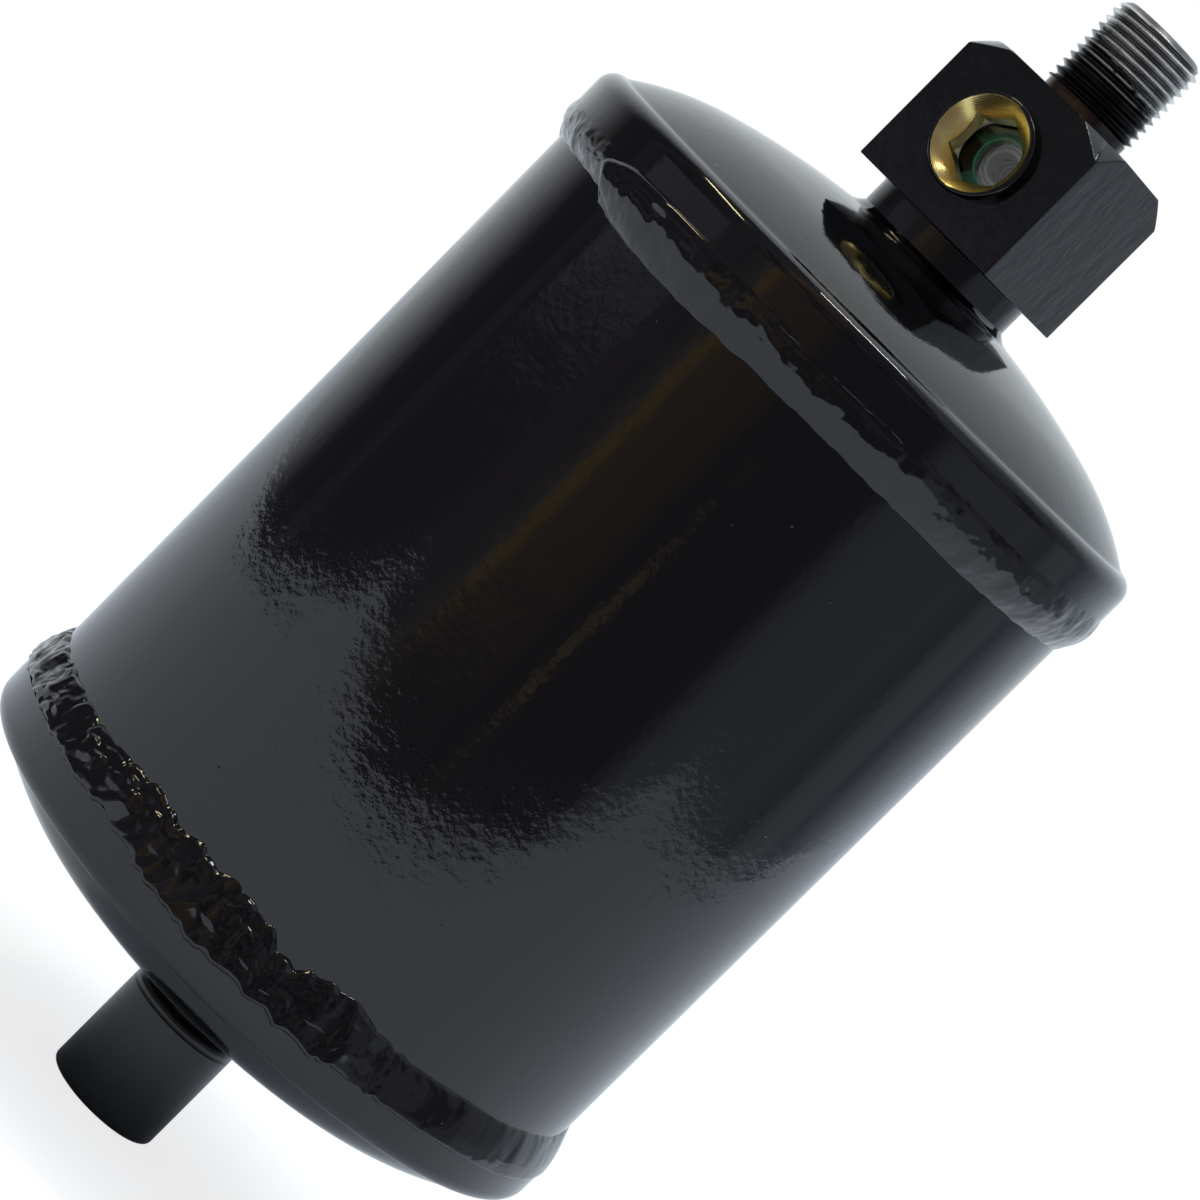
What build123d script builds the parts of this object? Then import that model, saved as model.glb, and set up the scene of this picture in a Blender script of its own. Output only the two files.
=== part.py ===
from build123d import *

import math
import os

# A receiver drier: a welded steel canister with a domed cap at each end, a square head with a
# sight glass and a threaded stem on top, and a plain round stub below. It stands on Z, the stem
# up, with the end of the stub at the origin and the sight glass looking towards -Y. Millimetres.

# Shell tube and the caps pressed in one die for both ends
shell_diameter = 101.6
shell_wall = 2.0
cap_wall = 1.6
cap_clearance = 0.2
cap_height = 19.5
crown_radius = 130.0
crown_reach = 36.0
crease_depth = 11.65
crease_softness = 0.9
rim_radius = 2.9
body_length = 150.0

# Head, square bar turned to a neck and a spigot below and to the stem above
block_side = 28.0
block_height = 24.9
block_edge = 0.35
turned_radius = 15.9
turned_drop = 3.4
neck_diameter = 27.3
neck_rise = 4.35
head_spigot_radius = 10.5
head_spigot_reach = 3.0
spigot_clearance = 0.1
flow_radius = 3.5

# Stem, drawn to the crests of its thread
stem_length = 17.0
thread_diameter = 15.8
relief_diameter = 14.8
relief_length = 1.75
stem_tip_diameter = 12.9
stem_tip_height = 1.4
stem_seat_radius = 4.8
stem_seat_depth = 11.0
stem_mouth_chamfer = 0.9

# Sight glass, a stack of plug, washer, lens and seal in one bore
sight_bore_radius = 7.0
sight_fit = 0.05
sight_flange_radius = 8.0
sight_flange_height = 1.8
sight_flange_round = 0.5
sight_shank_length = 3.7
sight_mouth_radius = 7.35
sight_mouth_depth = 2.0
sight_hex_flats = 10.0
washer_thickness = 0.8
washer_hole_radius = 5.5
lens_thickness = 3.0
lens_bevel = 0.3
seal_thickness = 1.5
seal_hole_radius = 3.7
window_radius = 2.3

# Lower fitting with its stub
stub_diameter = 19.05
stub_reach = 21.35
stub_barrel = 17.85
stub_end_round = 0.8
groove_below_shoulder = 0.5
groove_width = 0.36
groove_depth = 0.15
stub_neck_radius = 7.9
stub_spigot_radius = 6.5
stub_spigot_reach = 1.5
port_radius = 7.25
port_depth = 12.0
port_chamfer = 0.8
stub_flow_radius = 4.0

# Welds, the upper one even and the lower one rough apart from a calm stretch. Angles in degrees
bead_root = 0.6
bead_steps = 24
top_leg_thin = 6.0
top_leg_thick = 7.2
top_bulge_thin = 0.9
top_bulge_thick = 1.4
top_lap = 0.9
top_waver = 0.25
overlap_angle = -114.0
overlap_arc = 15.0
bottom_leg = 6.0
bottom_bulge = 1.15
bottom_lap = 2.4
bottom_waver = 0.9
bottom_bulge_waver = 0.35
calm_angle = -37.0
calm_arc = 130.0
calm_fade = 15.0
calm_share = 0.2

# Strength of each wave in a hand-laid weld, how many times it goes round the can, and its phase
weld_waves = ((0.45, 9, 0.9), (0.3, 14, -0.9), (0.25, 5, 1.6))

# Brazes
neck_braze_rise = 1.0
neck_braze_spread = 2.2
stub_braze_leg = 1.5
braze_hollow = 0.4

# Filter pack between two drilled plates
plate_thickness = 1.2
plate_hole_radius = 3.5
plate_hole_pitch = 12.0
plate_first_ring = 6
plate_flange = 4.0
plate_clearance = 0.3
pad_thickness = 5.0
bed_height = 60.0

# Spring under the pack and screen above it
spring_radius = 24.0
spring_wire_radius = 1.5
spring_turns = 4.5
screen_wall = 0.5
screen_grip = 2.0
screen_gap = 1.5
screen_slots = 10
screen_slot_width = 1.6
screen_slot_margin = 1.0

# Heights on the axis
crown_bottom = stub_reach
crown_top = crown_bottom + body_length
block_bottom = crown_top + neck_rise
block_top = block_bottom + block_height
stem_top = block_top + stem_length
sight_height = block_bottom + block_height / 2
top_cap_edge = crown_top - cap_height
bottom_cap_edge = crown_bottom + cap_height
top_shoulder = crown_top - crease_depth - cap_wall
bottom_shoulder = crown_bottom + crease_depth + cap_wall
shell_top = top_shoulder - plate_thickness
head_spigot_end = crown_top - cap_wall - head_spigot_reach
stub_spigot_end = crown_bottom + cap_wall + stub_spigot_reach
bed_top = shell_top - pad_thickness
bed_bottom = bed_top - bed_height
inlet_plate_top = bed_bottom - pad_thickness

# Radii that more than one piece follows
shell_radius = shell_diameter / 2
bore_radius = shell_radius - shell_wall
skirt_radius = shell_radius + cap_clearance + cap_wall
seat_radius = skirt_radius - rim_radius
pack_radius = bore_radius - plate_clearance
neck_radius = neck_diameter / 2
stub_radius = stub_diameter / 2
sight_bore_depth = sight_shank_length + washer_thickness + lens_thickness + seal_thickness

os.makedirs("parts", exist_ok=True)


def crown_drop(radius, sphere=crown_radius):
    """How far a cap's crown has fallen at this radius."""
    return sphere - math.sqrt(sphere**2 - radius**2)


def crown_slope(radius):
    """The crown's slope at this radius, in degrees."""
    return math.degrees(math.asin(radius / crown_radius))


def turning_plane(height=0.0, up=True, angle=0.0):
    """A plane through the axis, local X outward and local Y up, or down."""
    turn = math.radians(angle)
    side = 1 if up else -1
    outward = (math.cos(turn), math.sin(turn), 0)
    normal = (side * math.sin(turn), -side * math.cos(turn), 0)
    return Plane(origin=(0, 0, height), x_dir=outward, z_dir=normal)


def sight_plane(depth):
    """A plane across the sight glass, this far inside the block's face, looking inward."""
    return Plane(origin=(0, depth - block_side / 2, sight_height), x_dir=(1, 0, 0), z_dir=(0, 1, 0))


# Shell tube, one plate short of the upper cap's shoulder
with BuildPart() as shell_tube:
    with BuildSketch(Plane.XY.offset(bottom_shoulder)):
        Circle(shell_radius)
        Circle(bore_radius, mode=Mode.SUBTRACT)
    extrude(amount=shell_top - bottom_shoulder)
    outer_ends = edges().filter_by(GeomType.CIRCLE).sort_by(SortBy.RADIUS)[-2:]
    chamfer(outer_ends, rim_radius - cap_wall - cap_clearance)
shell_tube.part.label = "shell_tube"
export_step(shell_tube.part, "parts/shell_tube.step")

# The pressed wall of a cap in section, crown at the origin and skirt towards -Y
with BuildSketch() as cap_section:
    with BuildLine():
        crown = CenterArc((0, -crown_radius), crown_radius, 90, -crown_slope(crown_reach))
        TangentArc(crown @ 1, (seat_radius, -crease_depth), tangent=crown % 1)
        rim = CenterArc((seat_radius, -crease_depth - rim_radius), rim_radius, 90, -90)
        Line(rim @ 1, (skirt_radius, -cap_height))
        fillet(vertices().sort_by_distance(rim @ 0)[0], crease_softness)
        offset(amount=cap_wall, side=Side.RIGHT)
    make_face()

# Top cap, holed for the head's spigot
with BuildPart() as top_cap:
    with BuildSketch(turning_plane(crown_top)):
        add(cap_section.sketch)
    revolve(axis=Axis.Z)
    with Locations((0, 0, crown_top)):
        Hole(head_spigot_radius + spigot_clearance)
top_cap.part.label = "top_cap"
export_step(top_cap.part, "parts/top_cap.step")

# Bottom cap, the same pressing turned over and holed for the stub's spigot
with BuildPart() as bottom_cap:
    with BuildSketch(turning_plane(crown_bottom, up=False)):
        add(cap_section.sketch)
    revolve(axis=Axis.Z)
    with Locations((0, 0, crown_bottom)):
        Hole(stub_spigot_radius + spigot_clearance)
bottom_cap.part.label = "bottom_cap"
export_step(bottom_cap.part, "parts/bottom_cap.step")


def smooth_step(value):
    """Runs from 0 to 1 with level ends."""
    held = min(max(value, 0.0), 1.0)
    return held * held * (3 - 2 * held)


def hand_waver(angle):
    """The uneven run of a hand-laid weld, between -1 and 1 and closed round the turn."""
    turn = math.radians(angle)
    return sum(strength * math.sin(count * turn + phase) for strength, count, phase in weld_waves)


def weld_section(angle, toe, lap, bulge):
    """A fillet weld cut through the axis: its face runs from the shell up over a skirt, rooted in both."""
    middle = ((shell_radius + skirt_radius) / 2 + bulge, (toe + lap) / 2)
    with BuildSketch(turning_plane(angle=angle)) as section:
        with BuildLine():
            seen = ThreePointArc((shell_radius, toe), middle, (skirt_radius, lap), mode=Mode.PRIVATE)
            root = bead_root / seen.length
            face = ThreePointArc(seen @ -root, middle, seen @ (1 + root))
            Polyline(face @ 1, ((face @ 0).X, (face @ 1).Y), face @ 0)
        make_face()
    return section.sketch


def top_weld_section(angle):
    """The even upper weld, thick beside its overlap and thinner all the way round to it."""
    past_overlap = (angle - overlap_angle) % 360
    thick = smooth_step(past_overlap / overlap_arc) * (1 - smooth_step(past_overlap / (360 - overlap_arc)))
    leg = top_leg_thin + thick * (top_leg_thick - top_leg_thin) + top_waver * hand_waver(angle)
    bulge = top_bulge_thin + thick * (top_bulge_thick - top_bulge_thin)
    return weld_section(angle, top_cap_edge - leg, top_cap_edge + top_lap, bulge)


def bottom_weld_section(angle):
    """The rough lower weld, with one calmer stretch. Its lap and its bulge follow the toe, one step late."""
    into_calm = (angle - calm_angle) % 360
    calm = smooth_step(into_calm / calm_fade) * (1 - smooth_step((into_calm - calm_arc) / calm_fade))
    unrest = 1 - calm * (1 - calm_share)
    toe = bottom_cap_edge + bottom_leg + unrest * bottom_waver * hand_waver(angle)
    lap = bottom_cap_edge - bottom_lap + unrest * bottom_waver * hand_waver(angle - calm_fade)
    bulge = bottom_bulge + unrest * bottom_bulge_waver * hand_waver(angle - 2 * calm_fade)
    return weld_section(angle, toe, lap, bulge)


def loft_bead(section_at):
    """Adds a weld to the active part, lofted round the can in two half turns."""
    for half in (0, 180):
        angles = [half + 180 * step / bead_steps for step in range(bead_steps + 1)]
        loft([section_at(angle) for angle in angles])


# Upper weld, bedded on the shell and the end of the skirt
with BuildPart() as top_weld_bead:
    loft_bead(top_weld_section)
    Cylinder(shell_radius, 2 * stem_top, mode=Mode.SUBTRACT)
    with Locations((0, 0, top_cap_edge)):
        Cylinder(skirt_radius, cap_height, align=(Align.CENTER, Align.CENTER, Align.MIN), mode=Mode.SUBTRACT)
top_weld_bead.part.label = "top_weld_bead"
export_step(top_weld_bead.part, "parts/top_weld_bead.step")

# Lower weld, bedded the same way and lapping further over its skirt
with BuildPart() as bottom_weld_bead:
    loft_bead(bottom_weld_section)
    Cylinder(shell_radius, 2 * stem_top, mode=Mode.SUBTRACT)
    with Locations((0, 0, bottom_cap_edge)):
        Cylinder(skirt_radius, cap_height, align=(Align.CENTER, Align.CENTER, Align.MAX), mode=Mode.SUBTRACT)
bottom_weld_bead.part.label = "bottom_weld_bead"
export_step(bottom_weld_bead.part, "parts/bottom_weld_bead.step")

# Head, one piece of square bar
with BuildPart() as head_fitting:
    with BuildSketch(Plane.XY.offset(block_bottom)):
        Rectangle(block_side, block_side)
    extrude(amount=block_height)
    fillet(edges().filter_by(Axis.Z), block_edge)
    with BuildSketch(turning_plane()):
        corner_radius = block_side / math.sqrt(2)
        corner_top = block_top - turned_drop
        Polygon(
            (0, block_bottom),
            (corner_radius, block_bottom),
            (corner_radius, corner_top),
            (turned_radius, block_top),
            (0, block_top),
            align=None,
        )
    revolve(axis=Axis.Z, mode=Mode.INTERSECT)
    with BuildSketch(turning_plane()):
        with BuildLine():
            seat_start = crown_slope(head_spigot_radius)
            seat_turn = crown_slope(neck_radius) - seat_start
            seat = CenterArc((0, crown_top - crown_radius), crown_radius, 90 - seat_start, -seat_turn)
            Polyline(
                seat @ 1,
                (neck_radius, block_bottom),
                (0, block_bottom),
                (0, head_spigot_end),
                (head_spigot_radius, head_spigot_end),
                seat @ 0,
            )
        make_face()
    revolve(axis=Axis.Z)
    with BuildSketch(turning_plane(block_top)):
        Polygon(
            (0, 0),
            (relief_diameter / 2, 0),
            (relief_diameter / 2, relief_length),
            (thread_diameter / 2, relief_length),
            (thread_diameter / 2, stem_length - stem_tip_height),
            (stem_tip_diameter / 2, stem_length),
            (0, stem_length),
            align=None,
        )
    revolve(axis=Axis.Z)
    with BuildSketch(turning_plane()):
        Polygon(
            (0, head_spigot_end),
            (flow_radius, head_spigot_end),
            (flow_radius, stem_top - stem_seat_depth),
            (stem_seat_radius, stem_top - stem_seat_depth),
            (stem_seat_radius, stem_top - stem_mouth_chamfer),
            (stem_seat_radius + stem_mouth_chamfer, stem_top),
            (0, stem_top),
            align=None,
        )
    revolve(axis=Axis.Z, mode=Mode.SUBTRACT)
    with BuildSketch(sight_plane(0)):
        Circle(sight_bore_radius)
    extrude(amount=sight_bore_depth, mode=Mode.SUBTRACT)
    with BuildSketch(sight_plane(sight_bore_depth)):
        Circle(window_radius)
    extrude(amount=block_side / 2 - sight_bore_depth, mode=Mode.SUBTRACT)
head_fitting.part.label = "head_fitting"
export_step(head_fitting.part, "parts/head_fitting.step")


def braze_section(height, up, radius, rise, spread):
    """A hollow braze fillet in section, between a round fitting and the crown of a cap."""
    start = crown_slope(radius)
    turn = crown_slope(radius + spread) - start
    low = -crown_drop(radius + spread)
    high = rise - crown_drop(radius)
    hollow = (radius + braze_hollow * spread, low + braze_hollow * (high - low))
    with BuildSketch(turning_plane(height, up)) as section:
        with BuildLine():
            bed = CenterArc((0, -crown_radius), crown_radius, 90 - start, -turn)
            ThreePointArc(bed @ 1, hollow, (radius, high))
            Line((radius, high), bed @ 0)
        make_face()
    return section.sketch


# Braze round the head's neck
with BuildPart() as neck_braze_ring:
    add(braze_section(crown_top, True, neck_radius, neck_braze_rise, neck_braze_spread))
    revolve(axis=Axis.Z)
neck_braze_ring.part.label = "neck_braze_ring"
export_step(neck_braze_ring.part, "parts/neck_braze_ring.step")

# Braze round the stub's neck
with BuildPart() as stub_braze_ring:
    add(braze_section(crown_bottom, False, stub_neck_radius, stub_braze_leg, stub_braze_leg))
    revolve(axis=Axis.Z)
stub_braze_ring.part.label = "stub_braze_ring"
export_step(stub_braze_ring.part, "parts/stub_braze_ring.step")

# Lower fitting, a turned stub that seats on the crown, tapped from its end
with BuildPart() as bottom_fitting:
    with BuildSketch(turning_plane()):
        with BuildLine():
            groove_height = stub_barrel - groove_below_shoulder
            foot = CenterArc((stub_radius - stub_end_round, stub_end_round), stub_end_round, -90, 90)
            groove = Polyline(
                (stub_radius, groove_height - groove_width / 2),
                (stub_radius - groove_depth, groove_height),
                (stub_radius, groove_height + groove_width / 2),
            )
            Line(foot @ 1, groove @ 0)
            Line(groove @ 1, (stub_radius, stub_barrel))
            shoulder = CenterArc((stub_neck_radius, stub_barrel), stub_radius - stub_neck_radius, 0, 90)
            seat_start = crown_slope(stub_neck_radius)
            seat_turn = seat_start - crown_slope(stub_spigot_radius)
            seat = CenterArc((0, crown_bottom + crown_radius), crown_radius, seat_start - 90, -seat_turn)
            Line(shoulder @ 1, seat @ 0)
            Polyline(
                seat @ 1,
                (stub_spigot_radius, stub_spigot_end),
                (0, stub_spigot_end),
                (0, 0),
                foot @ 0,
            )
        make_face()
    revolve(axis=Axis.Z)
    with BuildSketch(turning_plane()):
        Polygon(
            (0, 0),
            (port_radius + port_chamfer, 0),
            (port_radius, port_chamfer),
            (port_radius, port_depth),
            (stub_flow_radius, port_depth),
            (stub_flow_radius, stub_spigot_end),
            (0, stub_spigot_end),
            align=None,
        )
    revolve(axis=Axis.Z, mode=Mode.SUBTRACT)
bottom_fitting.part.label = "bottom_fitting"
export_step(bottom_fitting.part, "parts/bottom_fitting.step")

# Sight glass plug, a flanged brass ring with a hexagon for the key, coned out from its flats to the mouth
with BuildPart() as sight_glass_plug:
    with BuildSketch(sight_plane(0)):
        Circle(sight_flange_radius)
    extrude(amount=-sight_flange_height)
    fillet(faces().sort_by(Axis.Y)[0].edges(), sight_flange_round)
    with BuildSketch(sight_plane(0)):
        Circle(sight_bore_radius - sight_fit)
    extrude(amount=sight_shank_length)
    with BuildSketch(sight_plane(-sight_flange_height)):
        RegularPolygon(sight_hex_flats / 2, 6, major_radius=False, rotation=30)
    extrude(amount=sight_flange_height + sight_shank_length, mode=Mode.SUBTRACT)
    hex_corner_radius = sight_hex_flats / math.sqrt(3)
    mouth_taper = sight_mouth_depth / (sight_mouth_radius - hex_corner_radius)
    with BuildSketch(sight_plane(-sight_flange_height)):
        Circle(sight_mouth_radius)
    mouth_angle = math.degrees(math.atan(1 / mouth_taper))
    mouth_run = sight_mouth_radius - sight_hex_flats / 2 + sight_fit
    extrude(amount=mouth_run * mouth_taper, taper=mouth_angle, mode=Mode.SUBTRACT)
sight_glass_plug.part.label = "sight_glass_plug"
export_step(sight_glass_plug.part, "parts/sight_glass_plug.step")

# White slip washer between plug and lens
with BuildPart() as sight_glass_washer:
    with BuildSketch(sight_plane(sight_shank_length)):
        Circle(sight_bore_radius - sight_fit)
        Circle(washer_hole_radius, mode=Mode.SUBTRACT)
    extrude(amount=washer_thickness)
sight_glass_washer.part.label = "sight_glass_washer"
export_step(sight_glass_washer.part, "parts/sight_glass_washer.step")

# Lens, a ground disc with broken edges
with BuildPart() as sight_glass_lens:
    with BuildSketch(sight_plane(sight_shank_length + washer_thickness)):
        Circle(sight_bore_radius - 2 * sight_fit)
    extrude(amount=lens_thickness)
    chamfer(edges(), lens_bevel)
sight_glass_lens.part.label = "sight_glass_lens"
export_step(sight_glass_lens.part, "parts/sight_glass_lens.step")

# Green seal between the lens and the floor of the bore
with BuildPart() as sight_glass_seal:
    with BuildSketch(sight_plane(sight_bore_depth - seal_thickness)):
        Circle(sight_bore_radius - sight_fit)
        Circle(seal_hole_radius, mode=Mode.SUBTRACT)
    extrude(amount=seal_thickness)
sight_glass_seal.part.label = "sight_glass_seal"
export_step(sight_glass_seal.part, "parts/sight_glass_seal.step")


def drilled_disc(radius):
    """A round plate with rings of flow holes, spread out to the edge of the pack."""
    rings = int((pack_radius - plate_flange) / plate_hole_pitch)
    with BuildSketch() as disc:
        Circle(radius)
        for ring in range(1, rings + 1):
            with PolarLocations(ring * plate_hole_pitch, plate_first_ring * ring):
                Circle(plate_hole_radius, mode=Mode.SUBTRACT)
    return disc.sketch


# Outlet plate, trapped between the shell's end and the cap's shoulder
with BuildPart() as outlet_plate:
    with BuildSketch(Plane.XY.offset(shell_top)):
        add(drilled_disc(seat_radius))
    extrude(amount=plate_thickness)
outlet_plate.part.label = "outlet_plate"
export_step(outlet_plate.part, "parts/outlet_plate.step")

# Felt pad that keeps dust from the bed out of the outlet
with BuildPart() as outlet_pad:
    with BuildSketch(Plane.XY.offset(bed_top)):
        Circle(pack_radius)
    extrude(amount=pad_thickness)
outlet_pad.part.label = "outlet_pad"
export_step(outlet_pad.part, "parts/outlet_pad.step")

# Desiccant bed, the beads taken as one body
with BuildPart() as desiccant_bed:
    with BuildSketch(Plane.XY.offset(bed_bottom)):
        Circle(pack_radius)
    extrude(amount=bed_height)
desiccant_bed.part.label = "desiccant_bed"
export_step(desiccant_bed.part, "parts/desiccant_bed.step")

# Felt pad under the bed
with BuildPart() as inlet_pad:
    with BuildSketch(Plane.XY.offset(inlet_plate_top)):
        Circle(pack_radius)
    extrude(amount=pad_thickness)
inlet_pad.part.label = "inlet_pad"
export_step(inlet_pad.part, "parts/inlet_pad.step")

# Inlet plate, flanged downward so that it slides square in the shell
with BuildPart() as inlet_plate:
    with BuildSketch(Plane.XY.offset(inlet_plate_top)):
        add(drilled_disc(pack_radius))
    extrude(amount=-plate_thickness)
    with BuildSketch(Plane.XY.offset(inlet_plate_top - plate_thickness)):
        Circle(pack_radius)
        Circle(pack_radius - plate_thickness, mode=Mode.SUBTRACT)
    extrude(amount=-plate_flange)
inlet_plate.part.label = "inlet_plate"
export_step(inlet_plate.part, "parts/inlet_plate.step")

# Spring that keeps the pack tight, ground flat at both ends
with BuildPart() as bed_spring:
    spring_edge = spring_radius + spring_wire_radius
    spring_foot = crown_bottom + cap_wall + crown_drop(spring_edge, crown_radius - cap_wall)
    spring_length = inlet_plate_top - plate_thickness - spring_foot
    with BuildLine(Plane.XY.offset(spring_foot)) as coil:
        Helix(pitch=spring_length / spring_turns, height=spring_length, radius=spring_radius)
    with BuildSketch(Plane(origin=coil.line @ 0, z_dir=coil.line % 0)):
        Circle(spring_wire_radius)
    sweep(path=coil.line, is_frenet=True)
    with BuildSketch(Plane.XY.offset(spring_foot)):
        Circle(spring_edge + spring_wire_radius)
    extrude(amount=spring_length, mode=Mode.INTERSECT)
bed_spring.part.label = "bed_spring"
export_step(bed_spring.part, "parts/bed_spring.step")

# Outlet screen, a slotted cup pressed over the head's spigot
with BuildPart() as outlet_screen:
    screen_radius = head_spigot_radius + screen_wall
    screen_floor = top_shoulder + screen_gap
    screen_rim = head_spigot_end + screen_grip
    with BuildSketch(Plane.XY.offset(screen_floor)):
        Circle(screen_radius)
    extrude(amount=screen_rim - screen_floor)
    with BuildSketch(Plane.XY.offset(screen_floor + screen_wall)):
        Circle(head_spigot_radius)
    extrude(amount=screen_rim - screen_floor - screen_wall, mode=Mode.SUBTRACT)
    slot_height = head_spigot_end - screen_floor - 2 * screen_slot_margin
    with PolarLocations(screen_radius, screen_slots):
        with Locations((0, 0, (head_spigot_end + screen_floor) / 2)):
            Box(3 * screen_wall, screen_slot_width, slot_height, mode=Mode.SUBTRACT)
outlet_screen.part.label = "outlet_screen"
export_step(outlet_screen.part, "parts/outlet_screen.step")
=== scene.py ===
# %% [markdown]
# # A receiver drier in the studio
# A receiver drier is the filter of a vehicle's air conditioning: a welded steel can that holds drying
# beads, with a square head and a sight glass on top and a tapped stub below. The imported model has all
# its pieces at their real size. This notebook loads it as a fixed frame and builds what a camera sees:
# fine turned surfaces, hand-laid welds, a cut thread, black enamel, brass and glass.

# %% Load the frame
import math

import bmesh
import bpy
import numpy as np
from mathutils import Matrix, Vector, noise


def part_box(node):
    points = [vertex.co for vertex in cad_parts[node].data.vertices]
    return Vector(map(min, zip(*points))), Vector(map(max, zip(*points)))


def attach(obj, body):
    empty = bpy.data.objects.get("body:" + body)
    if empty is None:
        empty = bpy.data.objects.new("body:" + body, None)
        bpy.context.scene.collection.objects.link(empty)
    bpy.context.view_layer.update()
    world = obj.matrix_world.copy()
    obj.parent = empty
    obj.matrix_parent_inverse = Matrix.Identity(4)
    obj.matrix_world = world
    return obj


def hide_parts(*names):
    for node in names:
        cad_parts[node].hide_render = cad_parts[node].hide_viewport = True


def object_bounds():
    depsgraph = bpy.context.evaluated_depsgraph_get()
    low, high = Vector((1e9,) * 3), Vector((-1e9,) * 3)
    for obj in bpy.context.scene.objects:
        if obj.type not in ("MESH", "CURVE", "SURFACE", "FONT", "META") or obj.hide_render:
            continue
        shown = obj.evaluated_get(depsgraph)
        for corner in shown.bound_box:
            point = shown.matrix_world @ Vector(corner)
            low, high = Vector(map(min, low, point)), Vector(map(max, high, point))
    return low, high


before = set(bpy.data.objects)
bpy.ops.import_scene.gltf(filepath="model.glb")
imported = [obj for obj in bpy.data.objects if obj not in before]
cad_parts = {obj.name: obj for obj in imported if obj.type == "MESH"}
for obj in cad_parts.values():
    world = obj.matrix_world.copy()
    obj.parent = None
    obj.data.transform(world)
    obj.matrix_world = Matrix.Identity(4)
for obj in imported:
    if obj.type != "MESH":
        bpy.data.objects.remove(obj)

MM = 0.001
cad_low, cad_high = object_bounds()
print("CAD box in mm:", [round((high - low) / MM, 2) for low, high in zip(cad_low, cad_high)])

# %% [markdown]
# ## The camera
# The photograph looks at the sight glass from its right, a little from above, through a long lens,
# and the picture is rolled so that the stem points to the upper right. A camera can be placed by hand
# until it looks right, or worked out: here its distance, height and dip come from measuring how much
# the can narrows downward and how much its round edges sag. A sideways vector and an upward vector,
# turned by the roll, give the camera's axes without any guessing about Euler angles.

# %% Camera
camera_azimuth = math.radians(28.37)
camera_distance = 636.4 * MM
camera_height = 172.6 * MM
camera_dip = math.radians(6.154)
camera_roll = math.radians(45)

facing = Vector((math.sin(camera_azimuth), -math.cos(camera_azimuth), 0))
sideways = Vector((math.cos(camera_azimuth), math.sin(camera_azimuth), 0))
forward = -math.cos(camera_dip) * facing - math.sin(camera_dip) * Vector((0, 0, 1))
upward = sideways.cross(forward)
rolled_sideways = math.cos(camera_roll) * sideways + math.sin(camera_roll) * upward
rolled_upward = math.cos(camera_roll) * upward - math.sin(camera_roll) * sideways


def place_object(name, data):
    """A new object with this data, linked to the scene."""
    thing = bpy.data.objects.new(name, data)
    bpy.context.scene.collection.objects.link(thing)
    return thing


camera = place_object("camera", bpy.data.cameras.new("camera"))
camera.data.lens = 133.29
camera.data.sensor_width = 36
camera.data.clip_start = 0.01
camera.matrix_world = Matrix((rolled_sideways, rolled_upward, -forward)).transposed().to_4x4()
camera.location = camera_distance * facing + Vector((0, 0, camera_height))
bpy.context.scene.camera = camera
bpy.context.scene.view_settings.view_transform = "Standard"
print("camera at", [round(value, 4) for value in camera.location])

# %% [markdown]
# ## Shader helpers
# Every finish below is a small graph of shader nodes. Written out in full, each node takes four or
# five lines, so helpers keep the graphs readable: one adds a node and wires its inputs, and the others
# do arithmetic, mix colours, draw noise, turn heights into relief, and start and end a material.

# %% Shader helpers
def add_node(tree, kind, inputs=None, **settings):
    """Adds a shader node, sets its options and fills or links its inputs."""
    node = tree.nodes.new("ShaderNode" + kind)
    for name, value in settings.items():
        setattr(node, name, value)
    for name, value in (inputs or {}).items():
        if isinstance(value, bpy.types.NodeSocket):
            tree.links.new(value, node.inputs[name])
        else:
            node.inputs[name].default_value = value
    return node


def work_out(tree, operation, *values):
    """A Math node's result."""
    return add_node(tree, "Math", dict(enumerate(values)), operation=operation).outputs[0]


def mix_colours(tree, share, first, second):
    """A colour that goes from the first to the second as the share goes from 0 to 1."""
    node = add_node(tree, "Mix", {0: share, 6: first, 7: second}, data_type="RGBA")
    return node.outputs[2]


def ease(tree, value, low, high, start=0.0, end=1.0):
    """A smooth step from start to end while a value goes from low to high."""
    inputs = {"Value": value, "From Min": low, "From Max": high, "To Min": start, "To Max": end}
    return add_node(tree, "MapRange", inputs, interpolation_type="SMOOTHSTEP").outputs["Result"]


def grain(tree, where, scale, detail=2.0, roughness=0.5):
    """A noise value at these coordinates, with this many waves per metre."""
    inputs = {"Vector": where, "Scale": scale, "Detail": detail, "Roughness": roughness}
    return add_node(tree, "TexNoise", inputs).outputs[0]


def stretched(tree, where, scale):
    """Coordinates with a scale of their own along each axis."""
    return add_node(tree, "Mapping", {"Vector": where, "Scale": scale}).outputs[0]


def split(tree, where):
    """The X, Y and Z of a place or a direction."""
    return add_node(tree, "SeparateXYZ", {0: where}).outputs


def product(tree, *values):
    """All these values multiplied together."""
    result = values[0]
    for value in values[1:]:
        result = work_out(tree, "MULTIPLY", result, value)
    return result


def plus(tree, base, value, factor):
    """A base value plus another one times a factor."""
    return work_out(tree, "MULTIPLY_ADD", value, factor, base)


def relief(tree, height, depth):
    """The normals of a fine relief: a height of 1 stands for this depth in millimetres."""
    return add_node(tree, "Bump", {"Height": height, "Distance": depth * MM}).outputs[0]


def start_material(name):
    """A material with an empty tree, and the place on the object, in metres, to start from."""
    material = bpy.data.materials.new(name)
    material.use_nodes = True
    material.node_tree.nodes.clear()
    return material, material.node_tree, add_node(material.node_tree, "TexCoord").outputs["Object"]


def end_material(material, inputs, kind="BsdfPrincipled"):
    """Ends a material in one surface with these inputs."""
    surface = add_node(material.node_tree, kind, inputs)
    add_node(material.node_tree, "OutputMaterial", {"Surface": surface.outputs[0]})
    return material

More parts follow.
